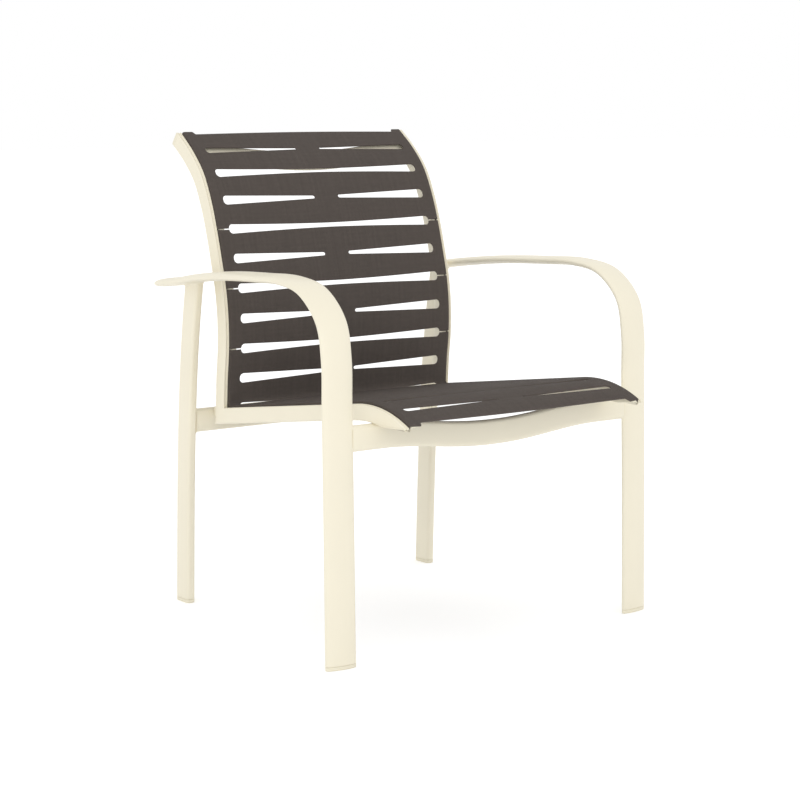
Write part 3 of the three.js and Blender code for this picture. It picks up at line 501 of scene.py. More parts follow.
def rail_underside(reach):
    """The lowest point of the seat rails over a cross bar at a reach."""
    s = np.linspace(0, SEAT_END, 197)
    points = on_sling(0, s, np.full_like(s, RAIL_DEPTH))
    return points[np.abs(points[:, 1] - reach) <= BAR_THICKNESS / 2 + GAP, 2].min()


def bar_stations(half, steps, profile=BAR_WELD):
    """Stations across a bar and how far each is grown: a weld swells out at both ends."""
    inner = np.linspace(-half + WELD_REACH, half - WELD_REACH, steps)
    ends, grown = profile.T
    return (np.concatenate([-half + ends[::-1], inner, half - ends]),
            np.concatenate([grown[::-1], np.zeros(steps), grown]))


def front_bar_rings():
    """The front cross bar: a rounded bar that sags between the rails, level at its ends,
    with a narrow crevice beside each leg."""
    reach = ARM_SHARES[1, 0] * ARM_REACH + FRONT_SETBACK
    ends = rail_underside(reach) - GAP - BAR_HEIGHT / 2
    x, _ = bar_stations(FRONT_SPREAD, 90, np.zeros((1, 2)))
    crevice = FRONT_SPREAD - ARM_WIDTH / 2 + CREVICE_STEPS
    x = np.sort(np.concatenate([x, crevice, -crevice]))
    cut = np.interp(np.abs(x), crevice, [0, 1, 1, 0])
    outline = rounded_bar(BAR_THICKNESS, BAR_HEIGHT, BAR_CORNER, face_steps=12)
    dent = CREVICE_DEPTH * np.clip(1 - (outline[:, 1] / CREVICE_HALF) ** 4, 0, 1)
    dent *= outline[:, 0] < -2
    outline[:, 1] += np.minimum(outline[:, 1], 0) * 2 * FRONT_EXTRA / BAR_HEIGHT
    height = ends - drop(x, RAIL_INSIDE, FRONT_SAG, FRONT_SAG_POWER)
    return stacked(x[:, None], reach + outline[None, :, 0] + cut[:, None] * dent[None],
                   height[:, None] + outline[None, :, 1])


REAR_BAR_HEIGHT = CORNER_HEIGHT - REAR_BAR_DROP
REAR_BAR_REACH = leg_reach(REAR_BAR_HEIGHT) - REAR_BAR_AHEAD


def rear_bar_rings():
    """The rear cross bar: straight between the rear legs, with a weld at each."""
    rings = []
    for x, g in zip(*bar_stations(LEG_SPREAD - LEG_WIDTH / 2, 12)):
        outline = rounded_bar(BAR_THICKNESS + 2 * g, BAR_HEIGHT + REAR_BAR_EXTRA + 2 * g,
                              BAR_CORNER + g)
        rings.append(from_side(x, outline + np.array([REAR_BAR_REACH, REAR_BAR_HEIGHT])))
    return np.stack(rings)


def top_bar_rings():
    """The top cross bar: it sags along the sling between the back rails, with welds."""
    x, grown = bar_stations(RAIL_INSIDE, 90)
    point, way = sling_line(
        slot_centre(1) - TOP_RISE + drop(x, RAIL_INSIDE - GAP, TOP_SAG))
    normal = behind(way)
    rings = []
    for i, g in enumerate(grown):
        outline = rounded_bar(BAR_THICKNESS + 2 * g, BAR_HEIGHT + 2 * g, BAR_CORNER + g)
        rings.append(from_side(x[i], point[i] + normal[i] * (TOP_DEPTH + outline[:, :1])
                               - way[i] * outline[:, 1:]))
    return np.stack(rings)


# The side rails

def groove_lean(s):
    """How far the groove lies further in near the back's top: nothing, then a straight rise."""
    return GROOVE_LEAN * np.clip(1 - (s - BACK_END) / GROOVE_LEAN_LENGTH, 0, 1.05)


def deepened(depth, s):
    """Depths behind the sling's face, with the rail's rear half stretched by a share: the
    rail is a little deeper round the corner than at both ends."""
    return depth + np.maximum(depth - RAIL_DEPTH / 2, 0) * 2 * (
        np.interp(s, *DEPTH_SHARES.T) - 1)


def rail_rings(outline, s):
    """The left rail's section at distances s, each a number or one value per point."""
    s = np.asarray(s, float)
    at = s if s.ndim == 2 else np.broadcast_to(s[:, None], (len(s), len(outline)))
    point, way = sharp_line(at)
    place = point + behind(way) * deepened(outline[None, :, 1], at)[..., None]
    grooved = (outline[:, 0] > RAIL_FLAT) & (outline[:, 0] < RAIL_WIDTH - 2 * RAIL_SHOULDER)
    grooved &= outline[:, 1] < GROOVE_FLOOR
    return from_side(-RAIL_INSIDE - outline[None, :, 0] + grooved * groove_lean(at), place)


def miter_ring(outline):
    """The section on the plane that halves the angle between the seat and the back."""
    back_normal, seat_normal = behind(sharp_line(0.0)[1]), behind(SEAT_WAY)
    miter = (back_normal + seat_normal) / (1 + back_normal @ seat_normal)
    place = CORNER + deepened(outline[:, 1:], 0.0) * miter
    return from_side(-RAIL_INSIDE - outline[:, 0], place)[None]


def seat_rail_end(outline, inset):
    """Where each line along the rail meets its end face or the slanted cut below it."""
    end, end_way = sharp_line(SEAT_END)
    rear, rear_way = sharp_line(SEAT_END - SEAT_CUT_LENGTH)
    knee = end + behind(end_way) * SEAT_CUT_DEPTH
    heel = rear + behind(rear_way) * RAIL_DEPTH
    slant = (heel - knee) / np.linalg.norm(heel - knee)
    inwards = behind(slant)
    s = np.linspace(CUT_START - 1, SEAT_END + 3, 1200)
    at = rail_rings(outline, s)[..., 1:]
    past_face = (at - end) @ end_way + inset
    past_cut = inset - (at - knee) @ inwards
    kept = np.maximum(past_face, past_cut) < 0
    return s[np.minimum(kept.argmin(0), len(s) - 1)]


def back_rail_rings():
    """The left back rail, from its cap down to the mitre."""
    outline = rail_outline()
    s = np.linspace(BACK_RAIL_END, -MITER_REACH, 110)
    return np.concatenate([rail_rings(outline, s), miter_ring(outline)])


def shrunk(outline, by):
    """The section drawn in towards its middle by a distance."""
    middle = np.array([RAIL_WIDTH, RAIL_DEPTH + RAIL_FACE_DEPTH]) / 2
    return middle + (outline - middle) * (1 - by / (middle - [0, RAIL_FACE_DEPTH]))


def back_cap_rings():
    """The plug in the left back rail's top end, with a rounded edge."""
    outline, end = rail_outline(), BACK_END - BACK_CAP_PROUD
    rings = [rail_rings(outline, [BACK_RAIL_END - 0.05])]
    rings += [rail_rings(shrunk(outline, by), [end + left]) for left, by in CAP_EDGE]
    return np.concatenate(rings)


def seat_cap_rings():
    """The plug over the left seat rail's front end and the slanted cut below it."""
    outline = rail_outline()
    rings = [rail_rings(outline, seat_rail_end(outline, CAP_THICKNESS - 0.05)[None])]
    for left, by in CAP_EDGE:
        section = shrunk(outline, by)
        rings.append(rail_rings(section, seat_rail_end(section, left)[None]))
    return np.concatenate(rings)


def seat_rail_rings():
    """The left seat rail, from the mitre to its slanted end under the cap."""
    outline = rail_outline()
    turn = np.arange(TURN_FROM, CUT_START, TURN_STEP)
    s = np.concatenate([STRAIGHT_STATIONS, turn, [CUT_START]])
    share = np.linspace(0, 1, 16)[1:, None]
    end = CUT_START + (seat_rail_end(outline, CAP_THICKNESS) - CUT_START)[None] * share
    return np.concatenate([miter_ring(outline), rail_rings(outline, s),
                           rail_rings(outline, end)])


# The sling's panels

def eased_step(t):
    """A step from 0 to 1 with level ends, as t goes from 0 to 1."""
    t = np.clip(t, 0, 1)
    return t * t * (3 - 2 * t)


def slot_sizes(k):
    """Slot k's reach across, its width at both ends and in the middle, and its end radius."""
    return OWN_SLOTS.get(k, HALF_SLOT if k % 2 else FULL_SLOT)


def slot_half(k, x):
    """Half the width of slot k: it widens outwards, and both its ends are round."""
    end, mouth, waist, radius = slot_sizes(k)
    straight = end - radius
    reach = np.minimum(x, straight)
    full = k % 2 == 0
    share = (reach / straight) ** (FULL_POWER if full else 1)
    half = (waist + (mouth - waist) * share) / 2
    past = np.clip(x - straight, 0, radius)
    half = half - radius + np.sqrt(radius ** 2 - past ** 2)
    if full:
        return half
    share = np.clip(x - BRIDGE_HALF, 0, BRIDGE_EASE) / BRIDGE_EASE
    return np.maximum(half * np.sqrt(np.clip(1 - (1 - share) ** 2, 0, 1)), LEAST_HALF)


def slot_space(k, x, s):
    """Distance from a point to the rim of slot k; the round ends count as circles."""
    away = np.abs(s - slot_centre(k))
    slope = np.gradient(slot_half(k, COLUMNS), COLUMNS)
    steep = np.interp(x, COLUMNS, np.clip(np.abs(slope), 0, STEEPEST))
    beside = (away - slot_half(k, x)) / np.sqrt(1 + steep ** 2)
    end, mouth, _, radius = slot_sizes(k)
    over_x = x - (end - radius)
    over_s = away - (mouth / 2 - radius)
    outer = np.hypot(np.maximum(over_x, 0), np.maximum(over_s, 0)) - radius
    space = np.where(x > end - radius, outer, beside)
    if k % 2 == 1:
        inner = np.hypot(BRIDGE_HALF + BRIDGE_ROUND - x, away) - BRIDGE_ROUND
        space = np.where(x < BRIDGE_HALF + BRIDGE_ROUND, inner, space)
    return space


def edge_line(k, side):
    """A panel's edge along slot k on one side of it, or at the chair's end."""
    def line(x):
        if 1 <= k <= SLOTS:
            seam = np.clip((x - SLOT_REACH) / SEAM_EASE, 0, 1)
            half = slot_half(k, x) * (1 - seam) + SEAM_HALF * seam
            return slot_centre(k) + side * half
        end, step = (BACK_END, EAR_STEP) if side > 0 else (SEAT_END, FRONT_STEP)
        ear = eased_step((x - SLOT_REACH + EAR_CORNER) / EAR_CURVE)
        bulge = step - END_BULGE * np.cos(math.pi / 2 * np.minimum(1, x / SLOT_REACH))
        slant = EAR_SLANT * np.clip((x - EAR_MIDDLE) / EAR_WIDTH, -0.5, 0.5) * (side < 0)
        return end + side * (bulge * (1 - ear) + slant * ear)
    return line


# The panels' columns from the middle outwards, closer together at the slots' ends
FLAT_COLUMNS = np.concatenate([
    [0, 6, 12, 17, 20.5, 22.6, 23.6, 24.1, 24.4, 24.5, 24.6, 24.9, 25.4, 26.1, 27.5, 30, 34, 40],
    np.arange(48, 186, 7.0), [190, 195, 199],
    np.sort(np.concatenate([
        SLOT_REACH - END_ROUND + END_ROUND * np.sin(np.linspace(0, math.pi / 2, 9)),
        END_SLOT_REACH - END_SLOT_ROUND
        + END_SLOT_ROUND * np.sin(np.linspace(0.1, math.pi / 2, 7))])),
    [209.8, 210.2, 210.8, 211.6, 213, 214.5, 216.5, 219, 222, 225],
])
# The hem's line into the groove, on the cloth's face and back: across and depth
HEM_FACE = reflected(np.array([
    [BAND_FLAT, 0], [GROOVE_WALL - 0.4, 0.7], [GROOVE_WALL + 0.5, 2.7], [GROOVE_WALL - 0.5, 5.4],
    [GROOVE_WALL - 0.5, 9.2]]))
HEM_BACK = reflected(np.array([
    [BAND_FLAT, CLOTH], [GROOVE_WALL - 2.3, 2.8], [GROOVE_WALL - 1.8, 3.7],
    [GROOVE_WALL - 2.2, 5.4], [GROOVE_WALL - 2.2, 9.2]]))
FACE = np.concatenate([stacked(FLAT_COLUMNS, 0.0), uniform_curve(HEM_FACE, 5)])
BACK = np.concatenate([stacked(FLAT_COLUMNS, CLOTH), uniform_curve(HEM_BACK, 5)])
HEM_COLUMNS = np.linspace(BAND_FLAT, BAND_FLAT + HEM_REACH, len(FACE) - len(FLAT_COLUMNS))
COLUMNS = np.concatenate([FLAT_COLUMNS, HEM_COLUMNS])
ACROSS = lengths_along(FACE)
RIM_STEPS = np.array([0.0, 0.2, 0.55, 1.1, 2.0, 4.0])


def panel_rows(first, last):
    """Row by row, the distance along the sling at each column, which cells are cloth, and
    how far across its ribbon each row lies."""
    x = COLUMNS
    inner = np.linspace(0.18, 0.82, 5)
    rows, whole, shares = [], [], []
    cloth = (x[1:] + x[:-1]) / 2

    def ribbon(start, end):
        bands = [start + step for step in RIM_STEPS]
        bands += [start + (end - start) * share for share in inner]
        bands += [end - step for step in RIM_STEPS[::-1]]
        rows.extend(bands)
        shares.extend([np.clip((band - start) / (end - start), 0, 1) for band in bands])
        whole.extend([np.ones(len(cloth), bool)] * (len(bands) - 1))

    start = edge_line(first, 1)(x)
    for k in range(first + 1, last):
        half = slot_half(k, x)
        ribbon(start, slot_centre(k) - half)
        open_slot = cloth < slot_sizes(k)[0]
        if k % 2 == 1:
            open_slot &= cloth > BRIDGE_HALF
        whole.append(~open_slot)
        start = slot_centre(k) + half
    ribbon(start, edge_line(last, -1)(x))
    return np.stack(rows), np.stack(whole), np.stack(shares)


def rim_space(first, last, x, s):
    """Distance from each point to the nearest cut edge of its panel."""
    space = np.full(s.shape, 99.0)
    for k in range(max(first, 1), min(last, SLOTS) + 1):
        space = np.minimum(space, slot_space(k, x, s))
    for k, side in ((first, 1), (last, -1)):
        line = edge_line(k, side)
        slope = np.interp(x, COLUMNS, np.clip(np.gradient(line(COLUMNS), COLUMNS), -2, 2))
        space = np.minimum(space, side * (s - line(x)) / np.sqrt(1 + slope ** 2))
    return np.maximum(space, 0)


def panel_faces(whole, face_number, back_number):
    """Two quads for each whole cell, one on the face and one on the back, by the points'
    numbers at its corners."""
    before, after = slice(None, -1), slice(1, None)
    corners = [(before, before), (before, after), (after, after), (after, before)]
    front, rear = (np.stack([number[c][whole] for c in corners], -1)
                   for number in (face_number, back_number))
    return np.concatenate([front, rear[:, ::-1]])


def panel_mesh(first, last):
    """A closed sheet on a grid, columns across and rows along: where a cell's neighbour is
    open, face and back share their points, and towards that rim the cloth's half thickness
    falls as a quarter circle. Returns points, faces, the cloth's own coordinates, the rims'
    distance and the flat area."""
    s_half, whole_half, share_half = panel_rows(first, last)
    half_count = len(COLUMNS) - 1
    mirror = np.abs(np.arange(-half_count, half_count + 1))
    sign = np.where(np.arange(len(mirror)) < half_count, -1, 1)
    x, across = sign * COLUMNS[mirror], sign * ACROSS[mirror]
    s, share = s_half[:, mirror], share_half[:, mirror]
    whole = np.concatenate([whole_half[:, ::-1], whole_half], 1)
    padded = np.pad(whole, 1)
    around = np.stack([padded[:-1, :-1], padded[:-1, 1:], padded[1:, :-1], padded[1:, 1:]])
    used, inside = around.any(0), around.all(0)
    space = rim_space(first, last, np.abs(x)[None] + 0 * s, s)
    fall = np.sqrt(np.clip(1 - (1 - np.clip(space / ROLL, 0, 1)) ** 2, 0, 1))
    fall = np.where(inside, np.maximum(fall, ROLL_FLOOR), 0)

    face, back = FACE[mirror] * stacked(sign, 1), BACK[mirror] * stacked(sign, 1)
    middle = (face + back) / 2
    crown = (BACK_CROWN if last <= CORNER_SLOT else SEAT_CROWN) * 4 * share * (1 - share)
    crown = crown * eased_step((SLOT_REACH - np.abs(x)) / CROWN_FADE)
    lean = groove_lean(s) * np.clip((np.abs(x) - HEM_FROM) / HEM_OVER, 0, 1) * sign
    face, back = (on_sling(middle[:, 0] + (side - middle)[:, 0] * fall - lean, s,
                           middle[:, 1] - crown + (side - middle)[:, 1] * fall)
                  for side in (face, back))

    face_number = np.cumsum(used).reshape(used.shape) - 1
    back_number = np.cumsum(inside).reshape(used.shape) - 1 + used.sum()
    faces = panel_faces(whole, face_number, np.where(inside, back_number, face_number))
    cloth = stacked(across, s)
    rises = np.diff(s, axis=0)
    area = float(((rises[:, 1:] + rises[:, :-1]) / 2 * np.diff(across) * whole).sum())
    points, own, rim = (np.concatenate([a[used], b[inside]])
                        for a, b in ((face, back), (cloth, cloth), (space, space)))
    return points, faces, own, rim, area


# Shaders

class Socket:
    """An output of a shader node. Sums, products and powers of it add Math nodes."""

    def __init__(self, shader, output):
        self.shader = shader
        self.output = output

    def __add__(self, other):
        return self.shader.math("ADD", self, other)

    def __sub__(self, other):
        return self.shader.math("SUBTRACT", self, other)

    def __rsub__(self, other):
        return self.shader.math("SUBTRACT", other, self)

    def __mul__(self, other):
        return self.shader.math("MULTIPLY", self, other)

    def __pow__(self, other):
        return self.shader.math("POWER", self, other)

    __radd__ = __add__
    __rmul__ = __mul__


class Shader:
    """The nodes of a material or world, added by expressions."""

    def __init__(self, data):
        self.data = data
        data.use_nodes = True
        self.tree = data.node_tree
        self.tree.nodes.clear()

    def node(self, kind, settings=None, inputs=None, output=0):
        """A node of a kind: its settings first, then the values or links of its sockets."""
        made = self.tree.nodes.new("ShaderNode" + kind)
        for key, value in (settings or {}).items():
            setattr(made, key, value)
        for key, value in (inputs or {}).items():
            socket = made.inputs[key]
            if isinstance(value, Socket):
                self.tree.links.new(value.output, socket)
            elif socket.type == "RGBA":
                socket.default_value = (*value, 1)
            else:
                socket.default_value = value
        return None if output is None else Socket(self, made.outputs[output])

    def math(self, operation, *values):
        """A Math node on one, two or three values."""
        return self.node("Math", {"operation": operation}, dict(enumerate(values)))

    def mix(self, factor, first, second):
        """A colour between two colours."""
        return self.node("Mix", {"data_type": "RGBA"}, {0: factor, 6: first, 7: second}, 2)

    def noise(self, place, scale, detail=2.0, stretch=(1, 1, 1)):
        """Smooth noise on a place, stretched along its axes."""
        spread = self.node("VectorMath", {"operation": "MULTIPLY"}, {0: place, 1: stretch})
        return self.node("TexNoise", {"noise_dimensions": "3D"},
                         {"Vector": spread, "Scale": scale, "Detail": detail})

    def bump(self, height, strength, distance):
        """A normal from a height."""
        return self.node("Bump", {}, {
            "Height": height, "Strength": strength, "Distance": distance})

    def surface(self, **inputs):
        """The material with a Principled surface. Underscores stand for spaces."""
        named = {key.replace("_", " "): value for key, value in inputs.items()}
        return self.finished(self.node("BsdfPrincipled", {}, named))

    def finished(self, shade, kind="Material"):
        """The material or world, once a shade is its surface."""
        self.node("Output" + kind, {}, {"Surface": shade}, None)
        return self.data


def darker(colour, share):
    """A share of a colour's light."""
    return tuple(c * share for c in colour)


def new_shader(name):
    """A new material's shader and the place on the object in metres."""
    shader = Shader(bpy.data.materials.new(name))
    return shader, shader.node("TexCoord", output=3)


def cream_powder_coat(settings):
    """Satin powder coat: a fine orange peel, faint cloudiness and slightly uneven gloss."""
    shader, place = new_shader("cream_powder_coat")
    cloud = shader.noise(place, 14.0, 3.0)
    grain = shader.noise(place, 2600.0, 1.0)
    peel = shader.noise(place, 620.0, 2.0)
    colour = tuple(settings.coat_colour)
    return shader.surface(
        Base_Color=shader.mix(cloud * 0.55 + grain * 0.3, colour, darker(colour, 0.955)),
        Roughness=peel * 0.10 + cloud * 0.08 + 0.34,
        Normal=shader.bump(peel + grain * 0.15, 0.16, settings.peel_height),
        IOR=1.5)


def cream_nylon(settings):
    """Moulded caps and glides in the frame's colour: matt, with a fine spark-eroded grain."""
    shader, place = new_shader("cream_nylon")
    grain = shader.noise(place, 1500.0, 2.0)
    cloud = shader.noise(place, 40.0, 2.0)
    colour = tuple(settings.nylon_colour)
    return shader.surface(
        Base_Color=shader.mix(grain * 0.4 + cloud * 0.4, colour, darker(colour, 0.93)),
        Roughness=grain * 0.15 + 0.48,
        Normal=shader.bump(grain, 0.3, 0.0001))


def woven_sling(settings):
    """Coated yarn in a plain weave: warp and weft rise and dip on the cloth's own coordinates,
    with painted shade darkening the dips between yarns, each yarn has its own tone, and the cut
    rims are sealed darker."""
    shader, _ = new_shader("woven_sling")
    place = shader.node("UVMap", {"uv_map": "cloth"})
    across = shader.node("SeparateXYZ", {}, {0: place})
    along = Socket(shader, across.output.node.outputs[1])
    warp = shader.math("SINE", across * (math.pi / settings.yarn_pitch))
    weft = shader.math("SINE", along * (math.pi / settings.yarn_pitch))
    over = shader.math("MULTIPLY_ADD", warp * weft, 0.5, 0.5)
    top = shader.math("GREATER_THAN", over, 0.5)
    height = shader.math("ABSOLUTE", warp) * top + shader.math("ABSOLUTE", weft) * (1 - top)
    streak = shader.noise(place, 1.0, 2.0, (230, 9, 1))
    broad = shader.noise(place, 1.0, 2.0, (120, 6, 1))
    pick = shader.noise(place, 1.0, 1.0, (14, 240, 1))
    slub = shader.noise(place, 1.0, 2.0, (170, 170, 1))
    tone = (streak * 0.30 + broad * 0.22 + pick * 0.22 + slub * 0.26 - 0.5) * 3.2 + 0.5
    tone = shader.math("MINIMUM", shader.math("MAXIMUM", tone, 0.0), 1.0)
    warp_colour, weft_colour = tuple(settings.warp_colour), tuple(settings.weft_colour)
    varied = shader.mix(tone, darker(warp_colour, 0.66), shader.mix(top, weft_colour, warp_colour))
    # Painted shade: the colour darkens in the dips between the yarns, as if shadowed
    valley_shade = shader.mix(height ** 0.5, darker(warp_colour, 0.62), varied)
    rim = shader.node("Attribute", {"attribute_name": "rim"}, output=2)
    sealed = shader.math("SMOOTH_MIN", rim * (1 / 1.1), 1.0, 0.2)
    return shader.surface(
        Base_Color=shader.mix(sealed, darker(warp_colour, 0.84), valley_shade),
        Roughness=0.82 - height * 0.14,
        Specular_IOR_Level=0.1,
        Normal=shader.bump(height + streak * 0.2, 0.55, settings.yarn_height))


def dark_extruded_rod(settings):
    """Spline rods: dull extruded vinyl with die lines along them."""
    shader, place = new_shader("dark_extruded_rod")
    lines = shader.noise(place, 1.0, 1.0, (2400, 40, 40))
    return shader.surface(Base_Color=shader.mix(lines, srgb(52, 49, 46), srgb(66, 62, 58)),
                          Roughness=lines * 0.2 + 0.45, Normal=shader.bump(lines, 0.2, 0.0001))


def zinc_plated_steel(settings):
    """Plated bolts: bright zinc with fine turning marks and cloudy spots."""
    shader, place = new_shader("zinc_plated_steel")
    cloud = shader.noise(place, 260.0, 3.0)
    turning = shader.noise(place, 1.0, 1.0, (5200, 300, 300))
    return shader.surface(
        Base_Color=shader.mix(cloud, srgb(176, 176, 172), srgb(206, 205, 198)),
        Metallic=1.0, Roughness=cloud * 0.18 + 0.24, Normal=shader.bump(turning, 0.15, 0.00005))


def seen_rays(shader):
    """1 for rays that the camera sees straight, in gloss or through glass, and else 0."""
    rays = [shader.node("LightPath", output=name) for name in (
        "Is Camera Ray", "Is Glossy Ray", "Is Transmission Ray")]
    return shader.math("MAXIMUM", shader.math("MAXIMUM", rays[0], rays[1]), rays[2])


def pale_floor(settings):
    """A plain matt floor. What the camera sees of it glows a little, so that it reads as
    white where it is fully lit, and keeps the chair's shadow."""
    shader, _ = new_shader("pale_floor")
    matt = shader.node("BsdfDiffuse", {}, {"Color": tuple(settings.floor_colour)})
    glow = shader.node("Emission", {}, {"Color": WHITE, "Strength": settings.floor_glow})
    both = shader.node("AddShader", {}, {0: matt, 1: glow})
    return shader.finished(
        shader.node("MixShader", {}, {0: seen_rays(shader), 1: matt, 2: both}))


def soft_sky(settings):
    """A world of even white light, with a backdrop that the camera sees as white."""
    shader = Shader(bpy.data.worlds.new("soft_sky"))
    sky, backdrop = (shader.node("Background", {}, {"Color": WHITE, "Strength": strength})
                     for strength in (settings.sky_strength, 1.0))
    shade = shader.node("MixShader", {}, {0: seen_rays(shader), 1: sky, 2: backdrop})
    return shader.finished(shade, "World")


def finish_of(maker, settings):
    """The material that a maker names after itself, made the first time it is asked for."""
    return bpy.data.materials.get(maker.__name__) or maker(settings)


def dress(ending, material):
    """A finish for the CAD nodes with an ending to their names, which stay as they are."""
    for name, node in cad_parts.items():
        if name.endswith(ending):
            node.data.materials.clear()
            node.data.materials.append(material)


# Settings

def colour_of(name, description, *shade):
    """A colour that the user can change."""
    return FloatVectorProperty(name=name, description=description, subtype="COLOR", size=3,
                               min=0, max=1, default=srgb(*shade))


class FrameSettings(bpy.types.PropertyGroup):
    """Colours and finish of the frame"""

    coat_colour: colour_of("Coat colour", "Colour of the powder coat", 240, 233, 212)
    nylon_colour: colour_of("Cap colour", "Colour of the caps and glides", 237, 230, 208)
    peel_height: FloatProperty(
        name="Orange peel", description="Height of the coat's orange peel", unit="LENGTH",
        min=0, default=0.00006, precision=6)


class SlingSettings(bpy.types.PropertyGroup):
    """Yarn and colours of the sling"""

    yarn_pitch: FloatProperty(
        name="Yarn pitch", description="Distance from yarn to yarn", unit="LENGTH",
        min=0.0003, default=0.0011, precision=5)
    yarn_height: FloatProperty(
        name="Yarn height", description="How far the yarns stand out", unit="LENGTH",
        min=0, default=0.00025, precision=5)
    warp_colour: colour_of("Warp colour", "Colour of the yarns along the chair", 98, 90, 85)
    weft_colour: colour_of("Weft colour", "Colour of the yarns across the chair", 84, 77, 72)


class StageSettings(bpy.types.PropertyGroup):
    """Floor, light and camera"""

    floor_colour: colour_of("Floor colour", "Colour of the floor", 250, 250, 250)
    floor_glow: FloatProperty(
        name="Floor glow", description="How much lighter the camera sees the floor",
        min=0, default=0.27)
    sky_strength: FloatProperty(
        name="Sky strength", description="Strength of the even light from all round",
        min=0, default=1.0)
    front_strength: FloatProperty(
        name="Front light", description="Power of the low soft lamp on the camera's side",
        unit="POWER", min=0, default=22.0)
    lens: FloatProperty(
        name="Lens", description="The camera's focal length", subtype="DISTANCE_CAMERA",
        min=20, default=93.387)


# Operators

class CHAIR_OT_arm_bars(bpy.types.Operator):
    """Build both arm bars, each bent from the front foot into the arm"""

    bl_idname = "sling_chair.arm_bars"
    bl_label = "Arm bars"

    def execute(self, context):
        finish = finish_of(cream_powder_coat, context.scene.chair_frame)
        add_pair("arm_bar", arm_rings(), finish, "arm_and_front_leg")
        return {"FINISHED"}


class CHAIR_OT_rear_legs(bpy.types.Operator):
    """Build both rear legs with their welds under the arms"""

    bl_idname = "sling_chair.rear_legs"
    bl_label = "Rear legs"

    def execute(self, context):
        finish = finish_of(cream_powder_coat, context.scene.chair_frame)
        add_pair("rear_leg_bar", rear_leg_rings(), finish, "rear_leg")
        return {"FINISHED"}


class CHAIR_OT_cross_bars(bpy.types.Operator):
    """Build the front, rear and top cross bars"""

    bl_idname = "sling_chair.cross_bars"
    bl_label = "Cross bars"

    def execute(self, context):
        finish = finish_of(cream_powder_coat, context.scene.chair_frame)
        for place, maker in (("front", front_bar_rings), ("rear", rear_bar_rings),
                             ("top", top_bar_rings)):
            add_tube(f"{place}_cross_bar", maker(), finish, f"{place}_crossbar")
        return {"FINISHED"}


class CHAIR_OT_side_rails(bpy.types.Operator):
    """Build the back and seat rails with their bead, groove and pocket"""

    bl_idname = "sling_chair.side_rails"
    bl_label = "Side rails"

    def execute(self, context):
        finish = finish_of(cream_powder_coat, context.scene.chair_frame)
        for part, maker in (("back", back_rail_rings), ("seat", seat_rail_rings)):
            add_pair(f"{part}_rail_bar", maker(), finish, f"{part}_rail")
        return {"FINISHED"}


class CHAIR_OT_glides(bpy.types.Operator):
    """Build the four glides: shoes with a rounded sole edge under the legs"""

    bl_idname = "sling_chair.glides"
    bl_label = "Glides"

    def execute(self, context):
        finish = finish_of(cream_nylon, context.scene.chair_frame)
        front = [oval(ARM_WIDTH - 2 * g, ARM_THICKNESS - 2 * g) for g, _ in GLIDE_EDGE]
        rear = [rounded_bar(LEG_WIDTH - 2 * g, LEG_THICKNESS - 2 * g, BAR_CORNER - g)
                for g, _ in GLIDE_EDGE]
        foot = np.array([-LEG_SPREAD, leg_reach(FOOT_TOP), 0.0])
        for part, outlines, centre, turn in (
                ("front", front, arm_centre(np.array(0.0)), TOE_OUT), ("rear", rear, foot, 0.0)):
            rings = level_rings(outlines, centre, turn, [rise for _, rise in GLIDE_EDGE])
            add_pair(f"{part}_shoe", rings, finish, f"{part}_glide", 60.0)
        return {"FINISHED"}


class CHAIR_OT_bolts(bpy.types.Operator):
    """Build the bracket bolts: button heads with a hexagon socket"""

    bl_idname = "sling_chair.bolts"
    bl_label = "Bolts"

    def execute(self, context):
        finish = finish_of(zinc_plated_steel, context.scene.chair_frame)
        seat = RAIL_INSIDE - GAP - BRACKET_THICKNESS - GAP
        height = CORNER_HEIGHT - BRACKET_DROP
        angle = np.arange(48) * 2 * math.pi / 48
        hexagon = 1 / np.cos((angle + math.pi / 6) % (math.pi / 3) - math.pi / 6)
        radii = [(rise, radius * hexagon) for rise, radius in SOCKET_TURNS]
        radii += [(rise, radius + 0 * angle) for rise, radius in HEAD_TURNS]
        rings = np.stack([stacked(rise - seat, r * np.cos(angle), height + r * np.sin(angle))
                          for rise, r in radii])
        for number in (1, 2):
            reach = CORNER[0] - BRACKET_OVERLAP + BOLT_LEAD + (number - 1) * BOLT_SPACING
            add_pair(f"bolt_{number}", rings + np.array([0, reach, 0]), finish,
                     f"bracket_bolt_{number}", 32.0)
        return {"FINISHED"}


class CHAIR_OT_small_parts(bpy.types.Operator):
    """Build the rails' end plugs, and finish the brackets and spline rods of the CAD model"""

    bl_idname = "sling_chair.small_parts"
    bl_label = "Caps, brackets and rods"

    def execute(self, context):
        settings = context.scene.chair_frame
        for part, maker in (("back", back_cap_rings), ("seat", seat_cap_rings)):
            add_pair(f"{part}_plug", maker(), finish_of(cream_nylon, settings),
                     f"{part}_rail_cap", 50.0)
        dress("_bracket", finish_of(cream_powder_coat, settings))
        dress("_spline", finish_of(dark_extruded_rod, settings))
        return {"FINISHED"}


class CHAIR_OT_sling_panels(bpy.types.Operator):
    """Build the eight slotted panels of woven sling, stretched between the rails"""

    bl_idname = "sling_chair.sling_panels"
    bl_label = "Sling panels"

    def execute(self, context):
        finish = finish_of(woven_sling, context.scene.chair_sling)
        for name, first, last in PANELS:
            points, quads, own, rim, area = panel_mesh(first, last)
            piece = add_piece(f"{name}_sling", points, quads, [], finish, f"{name}_panel",
                              80.0)
            mesh = piece.data
            loops = np.zeros(len(mesh.loops), np.int32)
            mesh.loops.foreach_get("vertex_index", loops)
            layer = mesh.uv_layers.new(name="cloth")
            layer.data.foreach_set("uv", (own[loops] * MM).astype(np.float32).ravel())
            attribute = mesh.attributes.new("rim", "FLOAT", "POINT")
            attribute.data.foreach_set("value", np.minimum(rim, 20).astype(np.float32))
        return {"FINISHED"}


